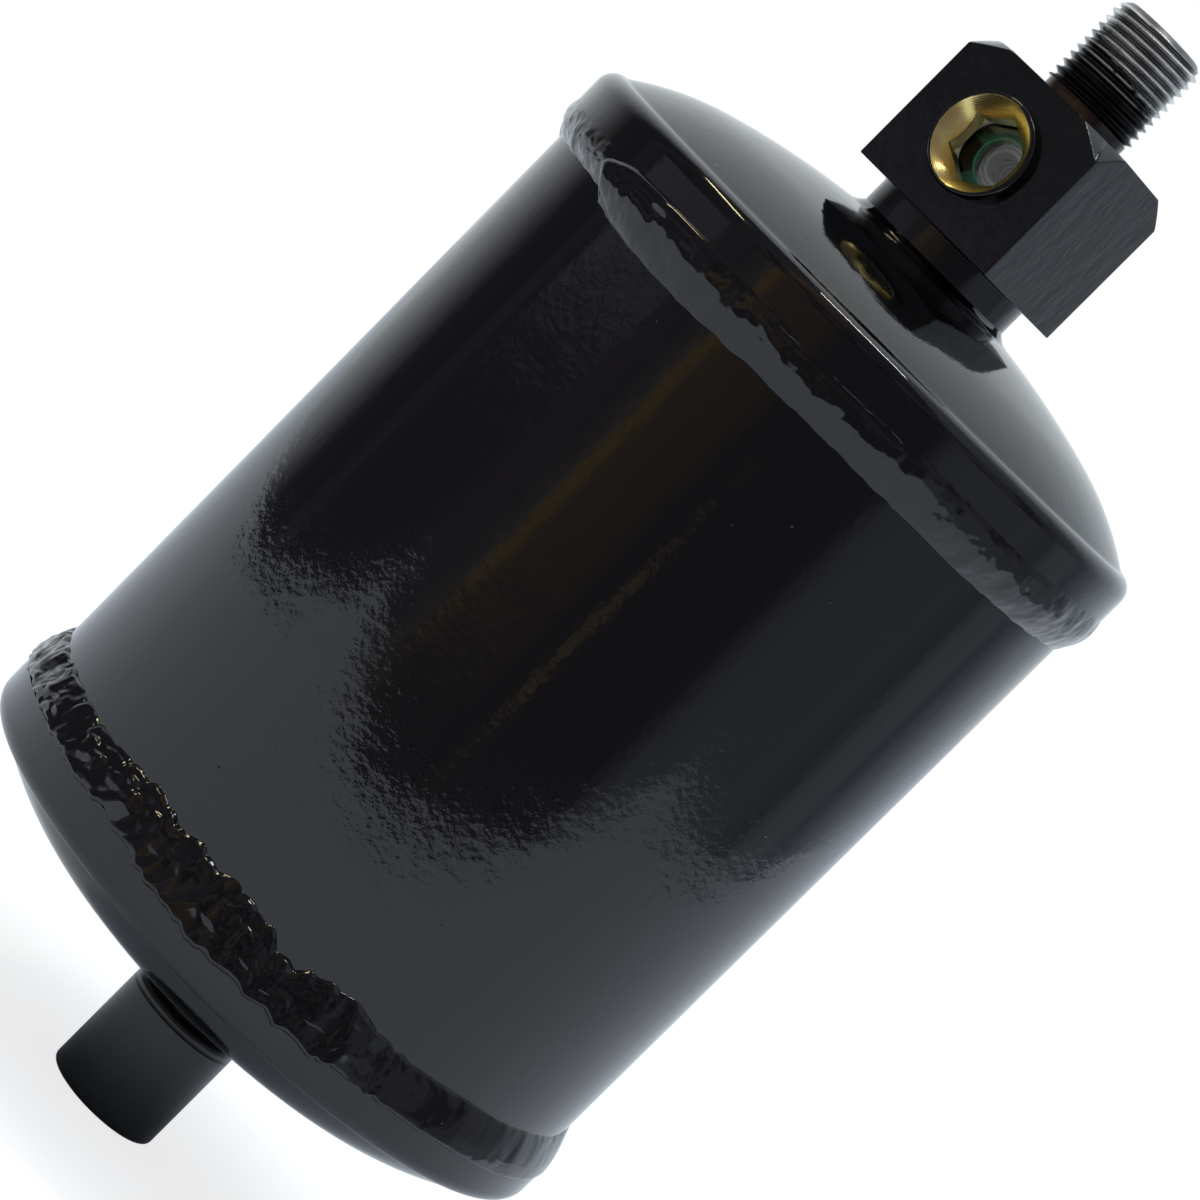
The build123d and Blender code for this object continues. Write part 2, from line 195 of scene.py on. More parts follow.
# %% [markdown]
# ## The room that the enamel mirrors
# Gloss black is almost nothing but reflections, so the room matters more than the paint. The can was
# photographed on a pale sheet, with a pale backdrop behind it and a dim room in front. A real studio
# could be modelled wall by wall, but only its brightness by direction shows, so the world shader holds
# a band of tones round the can, with a few patches on it for a window, a streak and the dim upper
# room. Camera and glass rays see plain white, mirrored rays see the room, and everything else gets an
# even soft light.

# %% Room tones
room_tones = (
    (-180, (0.94, 1.00, 1.03)),
    (-150, (0.92, 0.98, 1.02)),
    (-132, (0.62, 0.64, 0.67)),
    (-126, (0.44, 0.45, 0.47)),
    (-120, (0.26, 0.26, 0.28)),
    (-114, (0.09, 0.09, 0.10)),
    (-101, (0.09, 0.09, 0.11)),
    (-96, (0.16, 0.16, 0.18)),
    (-91, (0.11, 0.11, 0.13)),
    (-56, (0.15, 0.14, 0.17)),
    (-52, (0.20, 0.17, 0.19)),
    (-42, (0.18, 0.16, 0.18)),
    (-36, (0.26, 0.24, 0.25)),
    (-33, (0.56, 0.38, 0.16)),
    (-29, (0.27, 0.21, 0.16)),
    (-9, (0.22, 0.17, 0.15)),
    (-4, (0.13, 0.115, 0.13)),
    (38, (0.13, 0.115, 0.145)),
    (45, (0.33, 0.35, 0.43)),
    (56, (0.38, 0.40, 0.48)),
    (84, (0.34, 0.36, 0.43)),
    (94, (0.23, 0.26, 0.31)),
    (99, (0.37, 0.43, 0.49)),
    (109, (0.37, 0.43, 0.49)),
    (114, (0.25, 0.29, 0.34)),
    (124, (0.44, 0.50, 0.56)),
    (134, (0.66, 0.74, 0.81)),
    (150, (0.80, 0.89, 0.97)),
    (180, (0.94, 1.00, 1.03)),
)
room_gain = 0.86
ceiling_gain = 1.35
soft_at_horizon = 0.1
soft_overhead = 1.4
gloom_tone = (0.125, 0.115, 0.14, 1)
soft_light = (0.76, 0.79, 0.82, 1)
window_tone = (0.32, 0.32, 0.40, 1)
streak_tone = (0.42, 0.33, 0.22, 1)
shade_dark = (0.07, 0.068, 0.082, 1)
shade_light = (0.27, 0.265, 0.31, 1)
print("room tones at", len(room_tones), "bearings")

# %% [markdown]
# The world's shader gets the direction of each ray and turns it into a bearing, counted from the
# camera's side, and an elevation. The bearing picks a tone from a colour ramp, and a patch is four
# soft steps multiplied together, one for each of its sides.

# %% World
world = bpy.data.worlds.new("studio")
world.use_nodes = True
bpy.context.scene.world = world
sky = world.node_tree
sky.nodes.clear()
direction = add_node(sky, "TexCoord").outputs["Generated"]
turned_direction = add_node(
    sky, "VectorRotate", {"Vector": direction, "Angle": -camera_azimuth}, rotation_type="Z_AXIS"
).outputs[0]
across = split(sky, turned_direction)
towards_camera = work_out(sky, "MULTIPLY", across[1], -1.0)
bearing = work_out(sky, "DEGREES", work_out(sky, "ARCTAN2", across[0], towards_camera))
elevation = work_out(sky, "DEGREES", work_out(sky, "ARCSINE", across[2]))

round_the_room = add_node(
    sky, "MapRange", {"Value": bearing, "From Min": -180.0, "From Max": 180.0}
).outputs["Result"]
band = add_node(sky, "ValToRGB", {"Fac": round_the_room})
stops = band.color_ramp.elements
for place, (degrees, tone) in enumerate(room_tones):
    position = (degrees + 180) / 360
    stop = stops[place] if place < 2 else stops.new(position)
    stop.position = position
    stop.color = (*tone, 1)


def patch(left, right, bottom, top, softness):
    """1 inside a patch of the room, given in degrees, and 0 outside it."""
    sides = ((bearing, left, 0, 1), (bearing, right, 1, 0), (elevation, bottom, 0, 1), (elevation, top, 1, 0))
    steps = [ease(sky, value, at - softness, at + softness, *ends) for value, at, *ends in sides]
    return product(sky, *steps)


room = mix_colours(sky, patch(-36, -4, -60, -7.8, 1.4), band.outputs["Color"], gloom_tone)
room = mix_colours(sky, patch(-90, -54, -3.7, 0.5, 1.3), room, window_tone)
room = mix_colours(sky, patch(1.8, 5.6, -7.9, -5.3, 0.9), room, streak_tone)
high_shade = product(sky, patch(-44, 110, 8, 36, 4), 0.8)
furniture = ease(sky, grain(sky, direction, 5.0, 1.0), 0.4, 0.6)
room = mix_colours(sky, high_shade, room, mix_colours(sky, furniture, shade_dark, shade_light))
rays = add_node(sky, "LightPath").outputs
plain_white = work_out(sky, "MAXIMUM", rays["Is Camera Ray"], rays["Is Transmission Ray"])
higher = ease(sky, elevation, 25.0, 75.0, room_gain, room_gain * ceiling_gain)
overhead = ease(sky, elevation, 0.0, 65.0, soft_at_horizon, soft_overhead)
mirrored = add_node(sky, "Background", {"Color": room, "Strength": higher}).outputs[0]
lighting = add_node(sky, "Background", {"Color": soft_light, "Strength": overhead}).outputs[0]
white = add_node(sky, "Background", {"Color": (1, 1, 1, 1), "Strength": 1.0}).outputs[0]
seen = add_node(sky, "MixShader", {0: rays["Is Glossy Ray"], 1: lighting, 2: mirrored}).outputs[0]
seen = add_node(sky, "MixShader", {0: plain_white, 1: seen, 2: white}).outputs[0]
add_node(sky, "OutputWorld", {"Surface": seen})
print("world with", len(stops), "tones round the can")

# %% [markdown]
# ## The floor
# The floor is a pale sheet that ends 45 cm in front of the can and at both sides: its outline is what
# the lower shell mirrors as a grey U. It could be plain white paint, but then it would never be quite
# as white as the photograph's background, so to the camera about half of its colour is a glow and the
# rest keeps the can's shadow.

# %% Floor
floor_left = -0.54
floor_right = 0.725
floor_front = 0.445
floor_back = -1.7
floor_colour = (0.83, 0.885, 0.97, 1)
floor_glow = 0.55

floor_outline = (
    (floor_left, floor_front),
    (floor_right, floor_front),
    (floor_right, floor_back),
    (floor_left, floor_back),
)
floor_mesh = bpy.data.meshes.new("floor")
corners = [side * sideways + ahead * facing for side, ahead in floor_outline]
floor_mesh.from_pydata(corners, [], [(0, 1, 2, 3)])
floor = place_object("floor", floor_mesh)

floor_paper, paper, on_paper = start_material("floor_paper")
paper_bump = relief(paper, grain(paper, on_paper, 900.0), 0.02)
matte = add_node(paper, "BsdfDiffuse", {"Color": floor_colour, "Normal": paper_bump}).outputs[0]
glow = add_node(paper, "Emission", {"Color": (1, 1, 1, 1), "Strength": 1.4}).outputs[0]
seen_directly = add_node(paper, "LightPath").outputs["Is Camera Ray"]
end_material(floor_paper, {0: product(paper, seen_directly, floor_glow), 1: matte, 2: glow}, "MixShader")
floor_mesh.materials.append(floor_paper)
print("floor ends", floor_front, "m in front of the axis")

# %% [markdown]
# ## The lamps
# Two lamps are small and far away, as a ceiling strip and a warm lamp to the left, because the enamel
# shows them as thin, hard glints. A lamp shines along its own -Z axis. Its rotation could be typed in
# as three angles, but it is surer to build the axes from a bearing and an elevation.

# %% Lamps
def area_lamp(name, bearing_degrees, elevation_degrees, distance, width, depth, power, colour):
    """A rectangular lamp aimed at the can, its bearing counted from the camera's side."""
    lamp = place_object(name, bpy.data.lights.new(name, "AREA"))
    lamp.data.shape = "RECTANGLE"
    lamp.data.size = width
    lamp.data.size_y = depth
    lamp.data.energy = power
    lamp.data.color = colour
    turn = math.radians(bearing_degrees)
    level = math.cos(turn) * facing + math.sin(turn) * sideways
    rise = math.radians(elevation_degrees)
    aim = math.cos(rise) * level + math.sin(rise) * Vector((0, 0, 1))
    lamp.location = distance * aim + Vector((0, 0, 0.12))
    back = aim.normalized()
    side = Vector((0, 0, 1)).cross(back).normalized()
    turned = Matrix((side, back.cross(side), back)).transposed().to_4x4()
    lamp.matrix_world = Matrix.Translation(lamp.location) @ turned
    print(name, "at", [round(value, 3) for value in lamp.location])


area_lamp("ceiling_strip", 0, 86, 1.4, 0.50, 0.06, 2.6, (1.0, 1.0, 1.0))
area_lamp("warm_lamp", -86, 52, 1.3, 0.46, 0.07, 2.0, (1.0, 0.86, 0.50))

# %% [markdown]
# ## Mesh helpers
# Nearly every piece here was turned on a lathe, pressed in a round die or laid round a pipe, so one
# idea makes them all: a profile in radius and height, swept round an axis. The CAD mesh could be shown
# instead, but its flat facets would break up the reflections, so each piece is built again on the same
# sizes with many more steps. Sizes are in millimetres and become metres when the mesh is made.

# %% Mesh helpers
def keep_flats_flat(piece):
    """Lets the large faces set the shading, so that a small rounded edge doesn't bend a flat one."""
    weighting = piece.modifiers.new("flats", "WEIGHTED_NORMAL")
    weighting.mode = "FACE_AREA"
    weighting.keep_sharp = True


def clean_mesh(name, points, faces):
    """A mesh from points in millimetres, its doubled points joined and its faces turned outward."""
    mesh = bpy.data.meshes.new(name)
    mesh.from_pydata((np.asarray(points) * MM).tolist(), [], faces)
    work = bmesh.new()
    work.from_mesh(mesh)
    bmesh.ops.remove_doubles(work, verts=work.verts, dist=1e-7)
    bmesh.ops.recalc_face_normals(work, faces=work.faces)
    work.to_mesh(mesh)
    work.free()
    return mesh


def shade_smooth(mesh, smooth_angle):
    """Smooth shading that breaks where two faces meet at more than this angle in degrees."""
    mesh.shade_smooth()
    mesh.set_sharp_from_angle(angle=math.radians(smooth_angle))


def finish_mesh(name, points, faces, finishes, stands_for, smooth_angle=35):
    """Makes a piece from points in millimetres, rides it on the can and gives it its finishes."""
    mesh = clean_mesh(name, points, faces)
    shade_smooth(mesh, smooth_angle)
    for finish in finishes:
        mesh.materials.append(finish)
    piece = place_object(name, mesh)
    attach(piece, "root")
    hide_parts(*stands_for)
    print(name, len(mesh.polygons), "faces")
    return piece

# %% [markdown]
# A sweep is a grid, with a column of points for each angle round the axis and a row for each point of
# the profile. Every swept piece has the same kind of faces, and only its points differ.

# %% Sweep helpers
def grid_faces(columns, rows, closed_rows=False):
    """Quads between neighbouring columns, which always close, and neighbouring rows."""
    last = rows if closed_rows else rows - 1
    return [
        (
            column * rows + row,
            (column + 1) % columns * rows + row,
            (column + 1) % columns * rows + (row + 1) % rows,
            column * rows + (row + 1) % rows,
        )
        for column in range(columns)
        for row in range(last)
    ]


def swept_points(profiles, angles):
    """Points of one profile of (radius, height) for each angle, round the Z axis."""
    profiles = np.asarray(profiles, float)
    cosines, sines = np.cos(angles)[:, None], np.sin(angles)[:, None]
    radius, height = profiles[..., 0], profiles[..., 1]
    grid = np.stack([radius * cosines, radius * sines, height + 0 * cosines], axis=-1)
    return grid.reshape(-1, 3)


def all_round(steps):
    """Evenly spaced angles all the way round."""
    return np.linspace(0, 2 * math.pi, steps, endpoint=False)


def stand(points, upright):
    """Points moved from the Z axis to another axis, given by a matrix in millimetres."""
    if upright is None:
        return points
    return points @ np.array(upright.to_3x3()).T + np.array(upright.translation)

# %% [markdown]
# No edge of a real piece is quite sharp, and a sharp edge in a model catches no light. So a profile
# gets arcs and soft bends before it is swept. The last two helpers blend smoothly from 0 to 1.

# %% Profile helpers
def soft_bend(start, corner, end, shares):
    """Points on a soft bend from start to end that leans towards a corner."""
    return [(1 - share) ** 2 * start + 2 * share * (1 - share) * corner + share**2 * end for share in shares]


def soften(profile, radius):
    """Rounds the corners of a closed profile, as tumbling and wear do."""
    profile = [np.array(point, float) for point in profile]
    rounded = []
    for place, corner in enumerate(profile):
        into, out = corner - profile[place - 1], profile[(place + 1) % len(profile)] - corner
        into_length, out_length = np.linalg.norm(into), np.linalg.norm(out)
        turn = math.acos(np.clip(into @ out / into_length / out_length, -1, 1))
        cut_back = min(radius * math.tan(turn / 2), 0.45 * into_length, 0.45 * out_length)
        start, end = corner - into / into_length * cut_back, corner + out / out_length * cut_back
        rounded += soft_bend(start, corner, end, np.linspace(0, 1, 5))
    return rounded


def arc_points(centre, radius, start, end, steps):
    """Points along an arc, its angles in degrees from the radius axis."""
    turns = np.radians(np.linspace(start, end, steps + 1))
    return [(centre[0] + radius * math.cos(turn), centre[1] + radius * math.sin(turn)) for turn in turns]


def turned_piece(name, profile, finishes, stands_for, steps=256, edge=0.0, upright=None):
    """A solid of revolution about Z, or about another axis given by a matrix in millimetres."""
    profile = soften(profile, edge) if edge else profile
    points = stand(swept_points([profile] * steps, all_round(steps)), upright)
    piece = finish_mesh(name, points, grid_faces(steps, len(profile), True), finishes, stands_for)
    keep_flats_flat(piece)
    return piece


def smooth_step(value):
    """Runs from 0 to 1 with level ends, for numbers and arrays."""
    held = np.clip(value, 0.0, 1.0)
    return held * held * (3 - 2 * held)


def between(value, start, rise, end, fall):
    """1 between two places and 0 outside them: up over the rise from start, down over the fall from end."""
    return smooth_step((value - start) / rise) * (1 - smooth_step((value - end) / fall))

# %% [markdown]
# ## Gloss black enamel
# The can was sprayed with black enamel. Its colour is nearly black, and what the eye reads is the
# clear surface: sharp reflections broken up by orange peel about a millimetre across, faint waviness
# and a few dust nibs. A picture of paint could never follow the light, so bump does the peel, at a
# depth of about two hundredths of a millimetre, and one dielectric layer does the gloss.

# %% Enamel
def enamel(name, colour, roughness, peel, nibs, brushed=0.0):
    """Black paint on steel: peel in millimetres, nibs and brush marks as shares of their full depth."""
    material, tree, where = start_material(name)
    height = plus(tree, grain(tree, where, 780.0, 3.0), grain(tree, where, 130.0, 1.0), 2.2)
    cells = add_node(tree, "TexVoronoi", {"Vector": where, "Scale": 240.0, "Randomness": 1.0}).outputs
    chosen = add_node(tree, "SeparateColor", {0: cells["Color"]}).outputs[0]
    size = ease(tree, chosen, 0.62, 1.0, 0.0, 0.065)
    nib = work_out(tree, "MAXIMUM", work_out(tree, "SUBTRACT", size, cells["Distance"]), 0.0)
    height = plus(tree, height, nib, 110.0 * nibs)
    if brushed:
        marks = grain(tree, stretched(tree, where, (1.0, 1.0, 0.36)), 1000.0, 4.0, 0.62)
        dents = grain(tree, stretched(tree, where, (1.0, 1.0, 0.5)), 330.0)
        height = plus(tree, plus(tree, height, marks, 0.8 * brushed), dents, 1.7 * brushed)
    cloud = grain(tree, where, 60.0, 3.0)
    inputs = {
        "Base Color": mix_colours(tree, cloud, colour, tuple(1.5 * value for value in colour[:3]) + (1,)),
        "Roughness": ease(tree, cloud, 0.3, 0.75, roughness * 0.85, roughness * 1.2),
        "IOR": 1.55,
        "Normal": relief(tree, height, peel),
    }
    return end_material(material, inputs)


black_gloss = enamel("black_gloss", (0.0016, 0.0016, 0.0020, 1), 0.06, 0.022, 0.8)
weld_gloss = enamel("weld_gloss", (0.0016, 0.0016, 0.0020, 1), 0.09, 0.014, 1.0)
head_satin = enamel("head_satin", (0.0025, 0.0025, 0.0030, 1), 0.13, 0.012, 1.0, 4.0)
stub_satin = enamel("stub_satin", (0.0022, 0.0022, 0.0026, 1), 0.24, 0.006, 0.8)
print("enamels:", [finish.name for finish in (black_gloss, weld_gloss, head_satin, stub_satin)])

# %% [markdown]
# ## The can's tube
# The tube is a plain rolled cylinder 101.6 mm across. A cylinder needs few faces to look round in
# outline, but a mirror finish shows every facet, so it is swept in 256 steps, and its ends are
# chamfered where they slip inside the pressed caps.

# %% Shell
shell_low, shell_high = (corner.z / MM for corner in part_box("shell_tube"))
shell_radius = 50.8
shell_wall = 2.0
shell_chamfer = 1.1

shell_profile = [
    (shell_radius, shell_low + shell_chamfer),
    (shell_radius, shell_high - shell_chamfer),
    (shell_radius - shell_chamfer, shell_high),
    (shell_radius - shell_wall, shell_high),
    (shell_radius - shell_wall, shell_low),
    (shell_radius - shell_chamfer, shell_low),
]
turned_piece("shell", shell_profile, [black_gloss], ["shell_tube"])

# %% [markdown]
# ## The pressed caps
# Both caps come out of one die: a shallow dome that turns down into a soft crease, a rounded rim and a
# straight skirt over the tube. Its section is three arcs with a small bend at the crease, so it is
# written as arcs, and the sheet's inner side is the same line moved inward by the wall. The lower cap
# is the upper one mirrored.

# %% Caps
crown_radius = 130.0
crown_reach = 36.0
crease_depth = 11.65
crease_softness = 0.28
rim_radius = 2.9
skirt_radius = 52.6
cap_height = 19.5
cap_wall = 1.6
top_hole = 10.6
bottom_hole = 6.6
neck_radius = 13.65
neck_fillet = 2.2
stub_neck_radius = 7.9
stub_fillet = 1.5


def crown_drop(radius):
    """How far the dome has fallen at this radius."""
    return crown_radius - math.sqrt(crown_radius**2 - radius**2)


crown_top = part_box("neck_braze_ring")[0].z / MM + crown_drop(neck_radius + neck_fillet)
crown_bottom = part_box("stub_braze_ring")[1].z / MM - crown_drop(stub_neck_radius + stub_fillet)
print("crowns at", round(crown_bottom, 2), "and", round(crown_top, 2), "mm")


def cap_outline():
    """The outer line of a cap from its centre to the skirt's edge, the crown's top at height 0."""
    slope = math.asin(crown_reach / crown_radius)
    crown = arc_points((0, -crown_radius), crown_radius, 90, 90 - math.degrees(slope), 40)
    start = np.array(crown[-1])
    end = np.array((skirt_radius - rim_radius, -crease_depth))
    chord = end - start
    bend = -math.atan2(chord[1], chord[0]) - slope
    flank_radius = np.linalg.norm(chord) / 2 / math.sin(bend)
    centre = start - flank_radius * np.array((math.sin(slope), math.cos(slope)))
    flank_ends = 90 - math.degrees(slope), 90 - math.degrees(slope + 2 * bend)
    flank = arc_points(centre, flank_radius, *flank_ends, 24)
    rim = arc_points((end[0], end[1] - rim_radius), rim_radius, 90, 0, 24)
    before = [point for point in flank[1:] if end[0] - point[0] > crease_softness]
    after = [point for point in rim if point[0] - end[0] > crease_softness]
    crease = soft_bend(np.array(before[-1]), end, np.array(after[0]), np.linspace(0.15, 0.85, 6))
    return crown + before + crease + after + [(skirt_radius, -cap_height)]


def cap_profile(hole_radius):
    """The closed section of a cap, from the edge of its hole out and back along the inner side."""
    outline = [(hole_radius, -crown_drop(hole_radius))]
    outline += [point for point in cap_outline() if point[0] > hole_radius]
    along = np.gradient(np.array(outline), axis=0)
    along /= np.linalg.norm(along, axis=1)[:, None]
    outward = np.stack([-along[:, 1], along[:, 0]], axis=1)
    outward[-1] = (1, 0)
    return [*outline, *(np.array(outline) - cap_wall * outward)[::-1]]


for name, node, hole, crown, side in (
    ("upper_cap", "top_cap", top_hole, crown_top, 1),
    ("lower_cap", "bottom_cap", bottom_hole, crown_bottom, -1),
):
    section = [(radius, crown + side * height) for radius, height in cap_profile(hole)]
    turned_piece(name, section, [black_gloss], [node], 320)

# %% [markdown]
# ## The welds
# The skirts are welded to the tube by hand. The upper bead is nearly even, with a thick nose where its
# end laps over its start. The lower one is rough: a lump every 5 mm or so, folds between them, and a
# calmer stretch. Sculpting could do this, but a formula stays editable: each bead is a grid of angle
# and of a line from its toe on the tube to its lap on the skirt, pushed outward by a bulge, by a row of
# rounded lumps and by noise. The toe and lap heights of the side in the photograph were measured there.
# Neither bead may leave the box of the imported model, so what stands too proud is pressed in softly.

# %% Weld helper
weld_root = 0.5
weld_give = 0.30
weld_reach = 54.3
view_angle = math.degrees(camera_azimuth) - 90


def room_outward(angles):
    """How far out a bead may stand in these directions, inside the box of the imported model."""
    room_x = np.where(np.cos(angles) > 0, cad_high.x, -cad_low.x) / MM / np.abs(np.cos(angles) + 1e-9)
    room_y = np.where(np.sin(angles) > 0, cad_high.y, -cad_low.y) / MM / np.abs(np.sin(angles) + 1e-9)
    return np.minimum(np.minimum(room_x, room_y), weld_reach)


def weld_grid(toe, lap, swell, side):
    """Points and faces of a bead from toe to lap, closed by a root; side is -1 where the lap is higher."""
    columns, rows = swell.shape
    angles = all_round(columns)
    along = np.linspace(0, 1, rows)
    slope = skirt_radius - shell_radius
    run = (lap - toe)[:, None]
    profiles = np.full((columns, rows + 2, 2), shell_radius - weld_root)
    profiles[:, :rows, 0] = shell_radius + slope * along + swell
    profiles[:, :rows, 1] = toe[:, None] + along * run + side * slope / np.hypot(slope, run) * swell
    profiles[:, rows, 1] = lap
    profiles[:, rows + 1, 1] = toe
    proud = np.maximum(profiles[..., 0] - (room_outward(angles)[:, None] - weld_give), 0)
    profiles[..., 0] += weld_give * np.tanh(proud / weld_give) - proud
    return swept_points(profiles, angles), grid_faces(columns, rows + 2, True)


def rough(points, size, seed):
    """Noise between about -1 and 1 at points in millimetres, its features this large."""
    shift = Vector((seed * 17.3, seed * 5.1, seed * 9.7))
    return np.array([noise.noise(Vector(point) / size + shift) for point in points])


def bead_noise(turns, along, run, size, seed, squeeze=1.0, lean=0.0):
    """Noise over a bead's grid, its features drawn out along the run from toe to lap and leaning."""
    leaning = turns[:, None] + lean * along / shell_radius
    heights = run * squeeze * along + 0 * leaning
    spots = np.stack([shell_radius * np.cos(leaning), shell_radius * np.sin(leaning), heights], -1)
    return rough(spots.reshape(-1, 3), size, seed).reshape(len(turns), -1)


def edge_noise(turns, size, seed):
    """Noise along an edge of a bead."""
    return bead_noise(turns, np.zeros((1, 1)), 0, size, seed)[:, 0]


def from_camera(angles):
    """Angles round the can in degrees, counted from the camera's side."""
    return (np.degrees(angles) - view_angle + 180) % 360 - 180


def seen_line(pairs, bearings, hidden):
    """Heights all round the can from (bearing, height) pairs on the seen side and hidden ones behind."""
    line = np.interp(bearings, *zip(*pairs))
    away = smooth_step((np.abs(bearings) - 86) / 12)
    return line * (1 - away) + hidden * away

# %% [markdown]
# The upper bead is nearly even. Its one landmark is the nose on the left, where the bead's end laps
# over its start: a rounded front edge, then a long fall to the right.

# %% Upper weld
upper_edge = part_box("top_cap")[0].z / MM
upper_columns = 1500
upper_rows = 48
upper_run = 8
upper_toe_seen = (
    (-88, 147.6), (-58, 147.5), (-52, 147.2), (-49, 145.8), (-44, 145.1), (-37, 144.5), (-21, 144.5),
    (-8, 145.3), (16, 145.4), (37, 145.0), (56, 145.2), (71, 145.4), (88, 145.5),
)
nose_bearing = -52.0
nose_middle = 0.62
nose_curl = 12.5
nose_up = 0.40
nose_down = 0.66
nose_round = 2.6

turns = all_round(upper_columns)
upper_bearing = from_camera(turns)
bearing_column = upper_bearing[:, None]
along = np.linspace(0, 1, upper_rows)[None, :]
hidden_toe = 145.8 + 0.35 * np.sin(5 * turns) + 0.25 * np.sin(11 * turns + 1)
upper_toe = seen_line(upper_toe_seen, upper_bearing, hidden_toe) + 0.22 * edge_noise(turns, 3.0, 3)
upper_lap = upper_edge + 1.0 + 0.25 * np.sin(7 * turns + 0.5)

from_middle = along - nose_middle
off_middle = np.clip(from_middle / np.where(from_middle > 0, nose_up, nose_down), -0.97, 0.97)
past_nose = bearing_column - nose_bearing - nose_curl * (1 - np.sqrt(1 - off_middle**2))
nose_rise = np.sqrt(1 - (1 - np.clip(past_nose / nose_round, 0, 1)) ** 2)
nose = nose_rise * (1 - smooth_step((past_nose - 3) / 34))
before_nose = (1 - nose_rise) * smooth_step((past_nose + 70) / 60)
ball = np.exp(-((bearing_column + 36) / 1.1) ** 2 - ((along - 0.88) / 0.07) ** 2)
lip = between(along, 0.74, 0.14, 0.95, 0.05) * between(bearing_column, -52, 8, -30, 6)
groove = np.exp(-((along - 0.88) / 0.05) ** 2) * between(bearing_column, -15, 8, 12, 10)
uneven = 0.30 * bead_noise(turns, along, upper_run, 6.0, 1)
uneven = uneven + 0.14 * bead_noise(turns, along, upper_run, 2.6, 2)
uneven = uneven + 0.075 * bead_noise(turns, along, upper_run, 1.2, 11)
middle_share = np.sin(math.pi * along) ** 0.45
upper_swell = 0.9 * 4 * along * (1 - along)
upper_swell = upper_swell + middle_share * (0.62 * nose - 0.15 * before_nose + uneven)
upper_swell = upper_swell + 0.3 * ball + 0.22 * lip - 0.22 * groove
points, faces = weld_grid(upper_toe, upper_lap, upper_swell, -1)
finish_mesh("upper_weld", points, faces, [weld_gloss], ["top_weld_bead"], 50)

# %% [markdown]
# The lower bead is the rough one. Its waves are a sine without its sign, round on top and sharp in
# between, and noise shifts them so that no two are alike. On the seen side, ledges are laid where the
# photograph has glints, at the slope that mirrors the ceiling strip or the warm lamp.

# %% Lower weld sizes
skirt_edge = crown_bottom + cap_height
lower_columns = 2000
lower_rows = 44
lower_run = 9
lower_toe_seen = (
    (-88, 47.0), (-60, 47.3), (-45, 46.9), (-34, 47.6), (-27, 48.4), (-21, 47.1), (-16, 48.0), (-12, 46.8),
    (-9, 47.9), (-4, 47.4), (0, 47.2), (3, 45.4), (7, 45.2), (9, 46.7), (13, 47.3), (20, 47.3), (23, 46.1),
    (32, 45.7), (40, 46.0), (46, 46.2), (53, 45.9), (64, 46.1), (78, 46.0), (88, 46.6),
)
lower_lap_seen = (
    (-88, 40.6), (-44, 40.8), (-33, 40.6), (-22, 40.0), (-18, 39.0), (-12, 38.3), (-8, 37.8), (0, 38.0),
    (7, 38.6), (18, 38.1), (29, 38.9), (44, 39.2), (62, 39.0), (88, 39.4),
)
lump_pitch = 5.0
lump_height = 0.17
lap_proud = 0.8
side_proud = 0.3
climb_power = 1.35
skirt_cover = 0.06
toe_step = 0.20
fold_drop = 0.15
calm_bearing = 25.0
ledge_run = 9.2
strip_slope = 0.9
lamp_slope = 0.57
bead_ledges = (
    (-7.0, 0.22, 0.34, 0.95), (-4.4, 0.27, 0.30, 0.8), (-2.2, 0.23, 0.36, 1.0), (-43.0, 0.20, 0.34, 1.3),
    (-39.5, 0.32, 0.42, 1.7), (-38.5, 0.08, 0.34, 2.4), (-34.5, 0.30, 0.44, 1.5), (-32.0, 0.16, 0.46, 1.5),
    (-29.5, 0.30, 0.50, 1.7), (-28.6, 0.52, 0.40, 1.4), (-24.5, 0.20, 0.34, 1.3), (-19.0, 0.34, 0.26, 0.9),
    (2.5, 0.66, 0.24, 0.6), (-1.0, 0.72, 0.26, 0.7), (9.0, 0.58, 0.22, 0.8), (20.0, 0.22, 0.24, 1.0),
    (34.0, 0.45, 0.20, 0.6), (63.0, 0.50, 0.18, 1.4), (118.0, 0.25, 0.32, 1.1), (146.0, 0.35, 0.34, 1.2),
    (-168.0, 0.25, 0.34, 1.2), (-140.0, 0.40, 0.32, 1.1), (-96.0, 0.30, 0.30, 1.1),
)
print("lower weld:", len(bead_ledges), "ledges")

# %% Lower weld
turns = all_round(lower_columns)
lower_bearing = from_camera(turns)
bearing_column = lower_bearing[:, None]
along = np.linspace(0, 1, lower_rows)[None, :]
hidden_toe = 46.9 + 0.6 * np.sin(9 * turns + 0.9) + 0.4 * np.sin(14 * turns - 0.9)
hidden_lap = 38.9 + 0.6 * np.sin(8 * turns + 2.0) + 0.4 * np.sin(13 * turns)
lower_toe = seen_line(lower_toe_seen, lower_bearing, hidden_toe)
lower_lap = seen_line(lower_lap_seen, lower_bearing, hidden_lap)
unrest = 1 - 0.85 * between(bearing_column, calm_bearing, 8, 110, 20)
frayed = between(bearing_column, -130, 20, -56, 10)
pitted = between(bearing_column, -46, 6, -24, 6)

